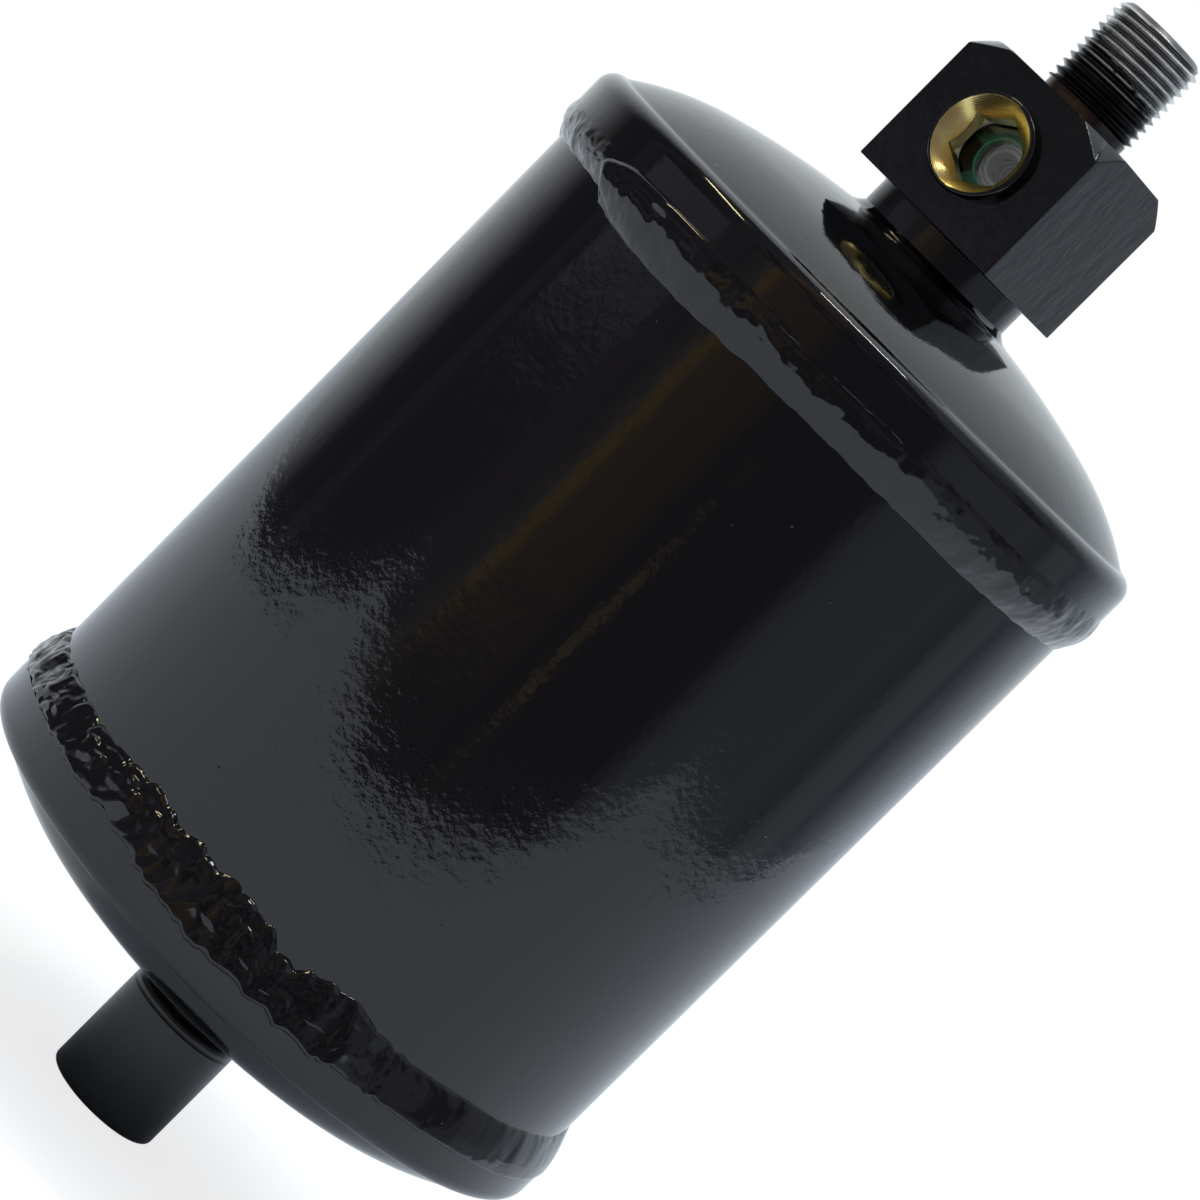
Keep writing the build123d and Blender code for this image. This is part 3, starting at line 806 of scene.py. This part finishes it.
big = bead_noise(turns, along, lower_run, 4.6, 4, 0.6, 2.5)
middle = bead_noise(turns, along, lower_run, 2.3, 5, 0.6, -1.5)
small = bead_noise(turns, along, lower_run, 1.4, 6)
ripple_phase = np.radians(bearing_column) * shell_radius / lump_pitch * math.pi
ripple_phase = ripple_phase + 1.9 * (along - 0.4) ** 2 * 4 + 2.4 * big
ripples = np.sqrt(np.sin(ripple_phase) ** 2 + 0.02) - 0.6
lumps = lump_height * ripples + 0.55 * big + 0.24 * middle + (0.05 + 0.08 * frayed + 0.02 * pitted) * small
degree = math.radians(1) * shell_radius
for ledge_bearing, ledge_along, ledge_height, ledge_width in bead_ledges:
    off_round = (bearing_column - ledge_bearing) * degree / ledge_width
    rise = ledge_height / (strip_slope if abs(ledge_bearing) < 12 else lamp_slope) / ledge_run
    below = along - ledge_along - 0.04 * off_round**2
    ledge = np.clip(below / rise, 0, 1) * (1 - smooth_step((below - rise) / 0.7))
    lumps = lumps + ledge_height * ledge * np.exp(-(off_round**2))
lumps = lumps * unrest * (1 - 0.45 * smooth_step((along - 0.6) / 0.3))

frontal = 1 - smooth_step((np.abs(lower_bearing) - 38) / 24)
lap_room = side_proud + (lap_proud - side_proud) * frontal
lap_room = np.minimum(lap_room, room_outward(turns) - skirt_radius - 0.25)[:, None]
power = climb_power + 0.5 * (lap_proud - lap_room)
climb = (skirt_radius + lap_room - shell_radius) * (1 - (1 - along) ** power)
climb = climb - (skirt_radius - shell_radius) * along
at_lap = smooth_step((along - 0.97) / 0.03)
toe_edge = toe_step * smooth_step(along / 0.07) * (1 - 0.6 * smooth_step((along - 0.1) / 0.4))
fold_line = 0.66 + 0.10 * np.sin(np.radians(bearing_column) * 11) + 0.3 * big
fold = fold_drop * between(along - fold_line, 0, 0.035, 0.08, 0.2) * between(bearing_column, -12, 4, 14, 5)
fold = fold * smooth_step((bead_noise(turns, along, lower_run, 3.2, 12) + 0.02) / 0.2)
lower_swell = climb - lap_room * at_lap + toe_edge * (0.35 + 0.65 * unrest)
lower_swell = lower_swell + between(along, 0, 0.10, 0.95, 0.05) * (lumps - fold)

bead_height = lower_toe[:, None] + along * (lower_lap - lower_toe)[:, None]
bead_radius = shell_radius + (skirt_radius - shell_radius) * along + lower_swell
over_skirt = smooth_step((skirt_edge + 0.6 - bead_height) / 0.6) * (1 - at_lap)
lower_swell = lower_swell + over_skirt * np.maximum(skirt_radius + skirt_cover - bead_radius, 0)
toe_noise = 0.28 * edge_noise(turns, 2.4, 7) + 0.10 * edge_noise(turns, 1.0, 8)
lap_noise = 0.85 * edge_noise(turns, 3.6, 9) + 0.20 * edge_noise(turns, 1.1, 10)
lower_toe = lower_toe + (0.55 * ripples[:, 0] + toe_noise) * unrest[:, 0]
lower_lap = lower_lap + (lap_noise - 0.5 * ripples[:, -1]) * unrest[:, 0]
points, faces = weld_grid(lower_toe, lower_lap, lower_swell, 1)
finish_mesh("lower_weld", points, faces, [weld_gloss], ["bottom_weld_bead"], 60)
print("lower bead stands out to", round(float(np.hypot(points[:, 0], points[:, 1]).max()), 2), "mm")

# %% [markdown]
# ## Brazes
# The neck and the stub are brazed to the caps. The filler leaves a small hollow fillet, wetted out on
# the dome. A fillet is a concave line between the two surfaces, so it is turned from a short curve.

# %% Brazes
def braze_profile(radius, rise, spread, side, crown):
    """The section of a hollow fillet on a crown; side is 1 above the top cap and -1 below the bottom."""
    low = -crown_drop(radius + spread)
    high = rise - crown_drop(radius)
    shares = np.linspace(0, 1, 12)
    curve = [(radius + spread * share, low + (high - low) * (1 - share) ** 2) for share in shares]
    bed = [(r, -crown_drop(r)) for r in np.linspace(radius + spread, radius, 6)[1:]]
    return [(r, crown + side * (z + 0.01)) for r, z in curve + bed]


for name, node, radius, rise, spread, side, crown in (
    ("neck_braze", "neck_braze_ring", neck_radius, 1.0, neck_fillet, 1, crown_top),
    ("stub_braze", "stub_braze_ring", stub_neck_radius, 1.5, stub_fillet, -1, crown_bottom),
):
    section = braze_profile(radius, rise, spread, side, crown)
    turned_piece(name, section, [black_gloss], [node])

# %% [markdown]
# ## The square head
# The head is sawn from square bar. A lathe then turned its top, which cut the corners off in a cone,
# its neck, and the stem. A cube with bevels would miss the curved line where cone and flats meet. Seen
# from above, each direction has one radius out to the rounded square, so the block is swept like a
# turned piece whose profile changes with the angle. Its steps crowd together at the corners, which
# would show as stripes on a round part, so the neck is turned on its own. The bores are cut later.

# %% Head
head_low, head_high = (corner.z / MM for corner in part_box("head_fitting"))
stem_length = 17.0
block_height = 24.9
half_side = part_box("head_fitting")[1].x / MM
block_top = head_high - stem_length
block_bottom = block_top - block_height
corner_round = 0.45
turned_radius = 15.9
turned_drop = 3.4
edge_break = 0.16
relief_radius = 7.4
spigot_radius = 10.5
neck_hollow = 0.25
flow_radius = 3.5
sight_height = (block_top + block_bottom) / 2
print("block from", round(block_bottom, 2), "to", round(block_top, 2), "mm, half side", round(half_side, 2))


def square_radius(angle):
    """How far the rounded square reaches in this direction."""
    folded = abs((angle + math.pi / 4) % (math.pi / 2) - math.pi / 4)
    if half_side * math.tan(folded) <= half_side - corner_round:
        return half_side / math.cos(folded)
    middle = half_side - corner_round
    reach = middle * (math.cos(folded) + math.sin(folded))
    return reach + math.sqrt(reach**2 - 2 * middle**2 + corner_round**2)


corner_reach = half_side * math.sqrt(2)
cone_slope = turned_drop / (corner_reach - turned_radius)


def block_profile(angle):
    """The head's outline in this direction, from the spigot's end up to the stem's foot."""
    out = square_radius(angle)
    top_at = lambda radius: block_top - cone_slope * max(0.0, radius - turned_radius)
    inner_edge = min(turned_radius - edge_break, out - 3 * edge_break)
    outer_edge = max(inner_edge + edge_break, min(turned_radius + edge_break, out - 2 * edge_break))
    return [
        (0, block_bottom),
        (out - edge_break, block_bottom),
        (out - 0.3 * edge_break, block_bottom + 0.3 * edge_break),
        (out, block_bottom + edge_break),
        (out, top_at(out) - edge_break),
        (out - 0.3 * edge_break, top_at(out) - 0.3 * edge_break),
        (out - edge_break, top_at(out - edge_break)),
        (outer_edge, top_at(outer_edge)),
        (inner_edge, block_top),
        (relief_radius + 0.2, block_top),
        (relief_radius, block_top),
        (0, block_top),
    ]


neck_section = [
    (flow_radius, head_low),
    (spigot_radius - 0.2, head_low),
    (spigot_radius, head_low + 0.2),
    (spigot_radius, crown_top - crown_drop(spigot_radius)),
    (neck_radius, crown_top - crown_drop(neck_radius)),
    (neck_radius, block_bottom - neck_hollow),
    (neck_radius + 0.3 * neck_hollow, block_bottom - 0.3 * neck_hollow),
    (neck_radius + neck_hollow, block_bottom),
    (neck_radius + neck_hollow, block_bottom + 0.5),
    (flow_radius, block_bottom + 0.5),
]
quarter = np.concatenate([np.linspace(-44.1, 44.1, 43), np.linspace(44.35, 45.65, 6)])
block_angles = np.radians(np.concatenate([quarter + 90 * side for side in range(4)]))
block_sections = [block_profile(angle) for angle in block_angles]
print("block sweep:", len(block_angles), "directions")

# %% [markdown]
# ## Tool marks
# A cutting tool leaves fine rings in metal. They could come from a picture, but a bore's rings are
# simply a wave along the distance from its own axis, so that they stay put from every side.

# %% Tool mark helpers
def distance_from(tree, where, axis, centre):
    """The distance of a point from a line along X, Y or Z through a centre, in metres."""
    offset = add_node(tree, "VectorMath", {0: where, 1: centre}, operation="SUBTRACT").outputs[0]
    keep = [0.0 if name == axis else 1.0 for name in "XYZ"]
    flat = add_node(tree, "VectorMath", {0: offset, 1: keep}, operation="MULTIPLY").outputs[0]
    return add_node(tree, "VectorMath", {0: flat}, operation="LENGTH").outputs["Value"]


def rings(tree, distance, where, spacing):
    """Tool marks: a wave along a distance, its spacing in millimetres, made uneven by noise."""
    wander = product(tree, grain(tree, where, 400.0), 6.0)
    phase = plus(tree, wander, distance, 2 * math.pi / (spacing * MM))
    return plus(tree, 0.5, work_out(tree, "SINE", phase), 0.5)

# %% [markdown]
# ## Bare steel and brass
# The thread was cut after the head was turned and lost its paint at the tip, where the cap nut
# rubbed. Bare steel is a metal with fine turned lines, and it runs into black where the spray
# settled, more on one side than the other; worn crests stay bright a little further down.

# %% Stem finish
def stem_finish():
    """Cut steel at the tip, black spray lower down, and painted shade in the roots."""
    material, tree, where = start_material("stem_steel")
    height = split(tree, where)[2]
    radius = distance_from(tree, where, "Z", (0, 0, 0))
    streaks = grain(tree, stretched(tree, where, (110.0, 110.0, 1500.0)), 1.0, 3.0, 0.6)
    patches = grain(tree, stretched(tree, where, (1.0, 1.0, 1.6)), 260.0, 3.0, 0.6)
    right_side = add_node(
        tree, "VectorMath", {0: where, 1: tuple(sideways)}, operation="DOT_PRODUCT"
    ).outputs["Value"]
    reach = work_out(tree, "ADD", height, product(tree, right_side, 0.30))
    reach = plus(tree, plus(tree, reach, patches, 0.006), streaks, 0.003)
    bare = ease(tree, reach, (head_high - 4.6) * MM, (head_high - 2.2) * MM)
    worn = product(
        tree,
        ease(tree, radius, 7.66 * MM, 7.84 * MM),
        ease(tree, patches, 0.36, 0.52),
        ease(tree, height, (head_high - 11.5) * MM, (head_high - 8.5) * MM),
    )
    bare = work_out(tree, "MAXIMUM", bare, worn)
    # The steel's colour darkens towards the thread roots: painted shade in the recesses.
    deep = ease(tree, radius, 7.05 * MM, 7.6 * MM)
    steel = mix_colours(tree, ease(tree, streaks, 0.35, 0.65), (0.50, 0.50, 0.48, 1), (0.92, 0.92, 0.90, 1))
    steel_shaded_in_roots = mix_colours(tree, plus(tree, 0.2, deep, 0.8), (0.035, 0.033, 0.03, 1), steel)
    foot = ease(tree, height, (block_top + 1.6) * MM, (block_top + 2.1) * MM, 1.0, 0.0)
    rust = product(tree, foot, ease(tree, patches, 0.42, 0.6))
    paint = mix_colours(tree, rust, (0.004, 0.004, 0.004, 1), (0.055, 0.026, 0.014, 1))
    lines = grain(tree, stretched(tree, where, (60.0, 60.0, 5200.0)), 1.0)
    inputs = {
        "Base Color": mix_colours(tree, bare, paint, steel_shaded_in_roots),
        "Metallic": bare,
        "Roughness": ease(tree, bare, 0.0, 1.0, 0.14, 0.25),
        "IOR": 1.5,
        "Normal": relief(tree, lines, 0.012),
    }
    return end_material(material, inputs)


stem_steel = stem_finish()
print("finish of the stem:", stem_steel.name)

# %% [markdown]
# The sight glass has a brass plug, painted outside and bright inside. The paint doesn't end in a
# clean circle: on the right the spray went a little further into the mouth.

# %% Brass finish
sight_axis = (0.0, 0.0, sight_height * MM)


def brass_finish():
    """Turned brass inside, black spray outside the mouth."""
    material, tree, where = start_material("plug_brass")
    right, depth, _ = split(tree, where)
    radius = distance_from(tree, where, "Y", sight_axis)
    tarnish = grain(tree, where, 500.0, 4.0, 0.6)
    metal = mix_colours(tree, tarnish, (0.95, 0.70, 0.19, 1), (1.0, 0.88, 0.42, 1))
    edge = plus(tree, radius, work_out(tree, "MAXIMUM", right, 0.0), 0.07)
    edge = plus(tree, edge, grain(tree, where, 1500.0), 0.00016)
    outside = ease(tree, depth, -13.95 * MM, -13.9 * MM, 1.0, 0.0)
    painted = product(tree, ease(tree, edge, 7.42 * MM, 7.50 * MM), outside)
    metallic = work_out(tree, "SUBTRACT", 1.0, painted)
    marks = product(tree, rings(tree, radius, where, 0.22), metallic)
    inputs = {
        "Base Color": mix_colours(tree, painted, metal, (0.004, 0.004, 0.0045, 1)),
        "Metallic": metallic,
        "Roughness": ease(tree, painted, 0.0, 1.0, 0.24, 0.10),
        "IOR": 1.5,
        "Normal": relief(tree, marks, 0.008),
    }
    return end_material(material, inputs)


plug_brass = brass_finish()
print("finish of the plug:", plug_brass.name)

# %% [markdown]
# ## Plain finishes
# Behind the plug lie a white slip washer, a clear lens and a dark green seal on a turned steel floor.
# They are small, so one helper makes the metals and another the plastic and the rubber. The pieces
# inside the can use both again.

# %% Plain finishes
def plain_metal(name, dark, light, roughness, spacing=0.0, axis="Z", centre=(0, 0, 0), metallic=1.0):
    """Steel with tool rings round an axis, or with an even fine grain."""
    material, tree, where = start_material(name)
    if spacing:
        marks = rings(tree, distance_from(tree, where, axis, centre), where, spacing)
    else:
        marks = grain(tree, where, 1400.0, 3.0, 0.6)
    colour = mix_colours(tree, marks, (*dark, 1), (*light, 1))
    inputs = {"Base Color": colour, "Metallic": metallic, "Roughness": roughness}
    return end_material(material, {**inputs, "Normal": relief(tree, marks, 0.01)})


def soft_finish(name, dark, light, roughness, scale, depth, cells=False):
    """A non-metal whose colour and relief follow noise, or rounded cells for packed beads, darker towards
    their gaps as painted shade.
    """
    material, tree, where = start_material(name)
    if cells:
        # Cells for beads are darker from their middles towards the gaps between them: painted shade.
        gap = add_node(tree, "TexVoronoi", {"Vector": where, "Scale": scale}).outputs["Distance"]
        pattern = ease(tree, gap, 0.1, 0.7, 1.0, 0.0)
    else:
        pattern = grain(tree, where, scale, 4.0, 0.6)
    colour = mix_colours(tree, pattern, (*dark, 1), (*light, 1))
    inputs = {"Base Color": colour, "Roughness": roughness, "Normal": relief(tree, pattern, depth)}
    return end_material(material, inputs)


def glass_finish():
    """Clear polished glass, a little dusty."""
    material, tree, where = start_material("lens_glass")
    haze = ease(tree, grain(tree, where, 300.0, 3.0), 0.5, 0.8, 0.0, 0.03)
    inputs = {"Base Color": (0.97, 0.99, 0.98, 1), "Roughness": haze, "IOR": 1.5, "Transmission Weight": 1.0}
    return end_material(material, inputs)


bore_steel = plain_metal(
    "bore_steel", (0.26, 0.26, 0.26), (0.40, 0.40, 0.40), 0.45, 0.4, "Y", sight_axis, 0.5
)
# The bore's floor is darker than its wall: painted shade at the bottom of the bore.
shaded_floor_steel = plain_metal(
    "shaded_floor_steel", (0.06, 0.06, 0.06), (0.20, 0.20, 0.195), 0.4, 0.7, "Y", sight_axis, 0.5
)
slip_white = soft_finish("slip_white", (0.74, 0.75, 0.74), (0.86, 0.87, 0.86), 0.35, 500.0, 0.004)
seal_green = soft_finish("seal_green", (0.008, 0.17, 0.082), (0.015, 0.25, 0.12), 0.5, 700.0, 0.008)
clear_glass = glass_finish()
print("more finishes:", [finish.name for finish in (bore_steel, shaded_floor_steel, slip_white, seal_green)])

# %% [markdown]
# ## Bores cut into the head
# A drill leaves a round hole with a floor, so each cutter is a turned solid of the drill's own shape.
# The boolean modifier takes it out of the head and is applied at once.

# %% Cutting helpers
def cut(piece, profile, smooth_angle, upright=None):
    """Takes a turned solid with this profile out of a piece for good."""
    steps = 128
    points = stand(swept_points([profile] * steps, all_round(steps)), upright)
    tool = place_object("cutter", clean_mesh("cutter", points, grid_faces(steps, len(profile))))
    modifier = piece.modifiers.new("bore", "BOOLEAN")
    modifier.operation = "DIFFERENCE"
    modifier.solver = "EXACT"
    modifier.object = tool
    bpy.context.view_layer.update()
    evaluated = piece.evaluated_get(bpy.context.evaluated_depsgraph_get())
    carved = bpy.data.meshes.new_from_object(evaluated)
    piece.modifiers.clear()
    piece.data = carved
    shade_smooth(carved, smooth_angle)
    bpy.data.objects.remove(tool)


def give_faces(piece, place, inside):
    """Gives the finish at this place to the faces whose centre passes a test, in millimetres."""
    for face in piece.data.polygons:
        if inside(face.center / MM):
            face.material_index = place

# %% [markdown]
# The head has a bore for the sight glass, with a small window in its floor, and a passage along the
# axis. The faces inside are told apart by their place and get a bare steel finish, because paint
# doesn't reach them. The floor of the sight glass's bore has its own finish with the rings of the
# cutter, darker than the wall as painted shade at the bottom of the bore.

# %% Bores
sight_upright = Matrix.Translation((0, 0, sight_height)) @ Matrix.Rotation(math.radians(90), 4, "X")
sight_bore_radius = 7.0
sight_bore_depth = 9.0
window_radius = 2.3
seat_radius = 4.8
seat_depth = 11.0
seat_mouth = 0.9

metals = [head_satin, bore_steel, shaded_floor_steel]
head_neck = turned_piece("head_neck", neck_section, metals[:2], ["head_fitting"])
points = swept_points(block_sections, block_angles)
faces = grid_faces(len(block_angles), len(block_sections[0]))
head_block = finish_mesh("head_block", points, faces, metals, ["head_fitting"], 30)
bore_floor = sight_bore_depth - half_side
sight_drill = [
    (0, half_side + 1),
    (sight_bore_radius, half_side + 1),
    (sight_bore_radius, -bore_floor),
    (window_radius, -bore_floor),
    (window_radius, 0),
    (0, 0),
]
flow_low, flow_high = block_bottom - 1, block_top + 1
flow_drill = [(0, flow_low), (flow_radius, flow_low), (flow_radius, flow_high), (0, flow_high)]
cut(head_block, sight_drill, 30, sight_upright)
cut(head_block, flow_drill, 30)


def in_a_bore(spot):
    """Whether a spot on the head lies in the sight glass's bore or in the flow bore."""
    from_sight = math.hypot(spot.x, spot.z - sight_height)
    in_sight = spot.y > -half_side + 0.05 and spot.y < 0.1 and from_sight < sight_bore_radius + 0.05
    return in_sight or math.hypot(spot.x, spot.y) < flow_radius + 0.05


give_faces(head_block, 1, in_a_bore)
give_faces(head_neck, 1, in_a_bore)
give_faces(head_block, 2, lambda spot: in_a_bore(spot) and abs(spot.y - bore_floor) < 0.05)
keep_flats_flat(head_block)
print("head_block", len(head_block.data.polygons), "faces after boring")

# %% [markdown]
# ## The threaded stem
# The stem has a 5/8-18 thread: crests 1.411 mm apart, flanks at 60 degrees. Stacked rings would look
# right at a glance, but they would have no helix, no start and no run-out. A thread is a profile that
# climbs as it turns, so the grid's rows climb with it, and rows that would leave the threaded length
# are held at its ends, where they close up. The tip's cone then limits the radius, as the lathe did.

# %% Thread helper
thread_pitch = 1.411
crest_radius = 7.9
root_radius = 7.06
thread_form = (
    (0.00, 0.00), (0.06, 0.02), (0.11, 0.10), (0.24, 0.40), (0.36, 0.72), (0.44, 0.94), (0.47, 1.00),
    (0.53, 1.00), (0.56, 0.94), (0.64, 0.72), (0.76, 0.40), (0.89, 0.10), (0.94, 0.02),
)


def thread_surface(bottom, top, root, crest, limit, columns=216):
    """A helical grid between two heights; limit gives the radius that the blank had at each height."""
    count = int((top - bottom) / thread_pitch) + 3
    offsets = [(lap + place) * thread_pitch for lap in range(-1, count) for place, _ in thread_form]
    depths = [depth for _ in range(-1, count) for _, depth in thread_form]
    rows = len(offsets)
    grid = np.zeros((columns + 1, rows, 3))
    for column in range(columns + 1):
        turn = 2 * math.pi * column / columns
        climb = thread_pitch * column / columns
        heights = np.array(offsets) + climb + bottom - thread_pitch
        held = np.clip(heights, bottom, top)
        radius = np.interp(held, heights, root + (crest - root) * np.array(depths))
        radius = np.array([limit(r, z) for r, z in zip(radius, held)])
        grid[column] = np.stack([radius * math.cos(turn), radius * math.sin(turn), held], axis=-1)
    return grid


def threaded_piece(name, grid, low_end, high_end, finishes, stands_for):
    """A piece from a helical grid, closed at each end by the rings of a turned profile."""
    columns, rows = grid.shape[0] - 1, grid.shape[1]
    points = grid.reshape(-1, 3).tolist()
    faces = grid_faces(columns + 1, rows)[: columns * (rows - 1)]
    for row, profile in ((0, low_end), (rows - 1, high_end)):
        start, size = len(points), len(profile)
        for turn in all_round(columns).tolist() + [2 * math.pi]:
            points.extend((r * math.cos(turn), r * math.sin(turn), z) for r, z in profile)
        for column in range(columns):
            left, right = start + column * size, start + (column + 1) * size
            faces.append((column * rows + row, (column + 1) * rows + row, right, left))
            faces.extend((left + k, right + k, right + k + 1, left + k + 1) for k in range(size - 1))
    return finish_mesh(name, points, faces, finishes, stands_for, 40)

# %% [markdown]
# The stem's blank has a relief at its foot, where the thread runs out, and a cone at its tip, which
# leads the nut on. A stepped drill then opens the seat for the pipe.

# %% Stem
relief_length = 1.75
tip_radius = 6.45
tip_height = 1.4
tip_break = 0.12
thread_bottom = block_top + relief_length
thread_top = head_high - tip_break


def stem_blank(radius, height):
    """The turned blank's radius: full size, then a cone at the tip."""
    cone = tip_radius + (crest_radius - tip_radius) * (head_high - height) / tip_height
    return min(radius, cone)


foot = [
    (relief_radius, thread_bottom),
    (relief_radius, block_top + 0.12),
    (relief_radius + 0.12, block_top),
    (0, block_top),
]
tip = [(tip_radius - 0.05, head_high - 0.04), (tip_radius - 0.16, head_high), (0, head_high)]
stem_grid = thread_surface(thread_bottom, thread_top, root_radius, crest_radius, stem_blank)
stem = threaded_piece("stem", stem_grid, foot, tip, [stem_steel, bore_steel], ["head_fitting"])
seat_drill = [
    (0, block_top - 1),
    (flow_radius, block_top - 1),
    (flow_radius, head_high - seat_depth),
    (seat_radius, head_high - seat_depth),
    (seat_radius, head_high - seat_mouth),
    (seat_radius + seat_mouth + 0.5, head_high + 0.5),
    (0, head_high + 0.5),
]
cut(stem, seat_drill, 40)
give_faces(stem, 1, lambda spot: math.hypot(spot.x, spot.y) < seat_radius + 0.4)
print("stem", len(stem.data.polygons), "faces")

# %% [markdown]
# ## The sight glass
# The plug is a brass ring screwed into the head, with a conical mouth that runs out into a hexagon for
# its key. Where a cone meets six flats it leaves scallops, and they are what makes such a socket look
# real, so the plug is swept with a profile for each direction: the cone ends where it meets the flat
# on that side.

# %% Sight glass plug
flange_radius = 8.0
flange_height = 1.8
flange_round = 0.5
shank_length = 3.7
shank_radius = 6.95
mouth_radius = 7.35
mouth_depth = 2.0
hex_half = 5.0
hex_corner = hex_half / math.cos(math.radians(30))
mouth_slope = mouth_depth / (mouth_radius - hex_corner)


def plug_profile(angle):
    """The plug's closed section in this direction; heights grow out of the head."""
    folded = abs((angle + math.pi / 6) % (math.pi / 3) - math.pi / 6)
    flat = min(hex_half / math.cos(folded), hex_corner - 0.05)
    front = half_side + flange_height
    run_out = front - mouth_slope * (mouth_radius - flat)
    rounded = arc_points((flange_radius - flange_round, front - flange_round), flange_round, 0, 90, 6)
    return [
        (shank_radius, half_side - shank_length + 0.2),
        (shank_radius, half_side),
        (flange_radius, half_side),
        *rounded,
        (mouth_radius + 0.06, front),
        (mouth_radius, front - 0.03),
        (flat + 0.05, run_out + 0.04),
        (flat, run_out - 0.04),
        (flat, half_side - shank_length),
        (shank_radius - 0.2, half_side - shank_length),
    ]


plug_angles = all_round(360)
plug_sections = [plug_profile(angle) for angle in plug_angles]
points = stand(swept_points(plug_sections, plug_angles), sight_upright)
faces = grid_faces(len(plug_angles), len(plug_sections[0]), True)
finish_mesh("sight_plug", points, faces, [plug_brass], ["sight_glass_plug"], 28)

# %% [markdown]
# Washer, lens and seal are plain turned discs, stacked behind the plug from its shank inward.

# %% Washer, lens and seal
ring_radius = 6.95
washer_thickness = 0.8
washer_hole = 5.5
lens_thickness = 3.0
lens_radius = 6.9
lens_chamfer = 0.3
seal_thickness = 1.5
seal_hole = 3.7


def ring_section(back, front, hole):
    """The section of a flat ring in the sight glass's bore."""
    return [(ring_radius, back), (ring_radius, front), (hole, front), (hole, back)]


lens_front = half_side - shank_length - washer_thickness
lens_back = lens_front - lens_thickness
lens_section = [
    (0, lens_back),
    (lens_radius - lens_chamfer, lens_back),
    (lens_radius, lens_back + lens_chamfer),
    (lens_radius, lens_front - lens_chamfer),
    (lens_radius - lens_chamfer, lens_front),
    (0, lens_front),
]
washer = ring_section(lens_front, lens_front + washer_thickness, washer_hole)
seal = ring_section(lens_back - seal_thickness, lens_back, seal_hole)
for name, section, slot, finish, node, edge in (
    ("slip_washer", washer, "white_plastic", slip_white, "sight_glass_washer", 0.08),
    ("sight_lens", lens_section, "lens_glass", clear_glass, "sight_glass_lens", 0),
    ("lens_seal", seal, "green_rubber", seal_green, "sight_glass_seal", 0.25),
):
    turned_piece(name, section, [finish], [node], 160, edge, sight_upright)

# %% [markdown]
# ## The stub
# The lower fitting is a turned stub with a fine groove under a rounded shoulder, tapped from its end.
# The outside is one turned profile. The tapping uses the same thread helpers as the stem, with the
# root outside the crest, so that anyone who looks from below finds a real thread.

# %% Stub
stub_radius = 9.525
stub_barrel = 17.85
shoulder_round = stub_radius - stub_neck_radius
groove_height = stub_barrel - 0.5
end_round = 0.8
port_radius = 7.25
port_depth = 12.0
port_root = 7.98
port_chamfer = 0.8
stub_flow = 4.0
stub_spigot = 6.5
groove_line = ((-0.20, 0), (-0.16, 0.02), (-0.02, 0.14), (0.02, 0.14), (0.16, 0.02), (0.20, 0))
stub_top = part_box("bottom_fitting")[1].z / MM

stub_outline = arc_points((stub_radius - end_round, end_round), end_round, -90, 0, 8)
stub_outline += [(stub_radius - depth, groove_height + off) for off, depth in groove_line]
stub_outline += arc_points((stub_neck_radius, stub_barrel), shoulder_round, 0, 84, 10)
stub_outline += [
    (stub_neck_radius, stub_barrel + shoulder_round),
    (stub_neck_radius, crown_bottom + crown_drop(stub_neck_radius)),
    (stub_spigot, crown_bottom + crown_drop(stub_spigot)),
    (stub_spigot, stub_top - 0.15),
    (stub_spigot - 0.15, stub_top),
    (stub_flow, stub_top),
    (stub_flow, port_depth + 1.6),
    (port_radius, port_depth),
]


def port_mouth(radius, height):
    """The tapped hole's radius: opened to a cone at its mouth."""
    return max(radius, port_radius + port_chamfer - height)


port_grid = thread_surface(0.0, port_depth, port_root, port_radius, port_mouth)
mouth = [(port_radius + port_chamfer, 0), *stub_outline]
inner_end = [(port_radius, port_depth)]
stub_finishes = [stub_satin, bore_steel]
stub = threaded_piece("stub", port_grid, mouth, inner_end, stub_finishes, ["bottom_fitting"])
keep_flats_flat(stub)
give_faces(stub, 1, lambda spot: math.hypot(spot.x, spot.y) < port_root + 0.02 and spot.z > 0.5)

# %% [markdown]
# ## The pieces inside
# The desiccant bed, its pads, plates and spring and the outlet screen are sealed in the can. No camera
# sees them, but whoever opens the model will, so each keeps its CAD mesh and gets its own finish:
# zinc-plated sheet, felt, packed beads and drawn wire.

# %% Inner finishes
zinc = plain_metal("zinc_sheet", (0.42, 0.42, 0.40), (0.66, 0.66, 0.63), 0.38)
wire = plain_metal("spring_wire", (0.22, 0.22, 0.23), (0.40, 0.40, 0.42), 0.33)
felt = soft_finish("felt", (0.66, 0.63, 0.55), (0.84, 0.82, 0.75), 0.95, 1800.0, 0.25)
# The beads' colour darkens towards the gaps between them as painted shade.
beads = soft_finish("beads", (0.42, 0.36, 0.27), (0.80, 0.74, 0.62), 0.8, 420.0, 0.9, cells=True)
inner_finishes = {
    "outlet_screen": zinc,
    "outlet_plate": zinc,
    "inlet_plate": zinc,
    "outlet_pad": felt,
    "inlet_pad": felt,
    "desiccant_bed": beads,
    "bed_spring": wire,
}
for node, finish in inner_finishes.items():
    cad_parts[node].data.materials.clear()
    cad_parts[node].data.materials.append(finish)
print("inner pieces:", ", ".join(inner_finishes))
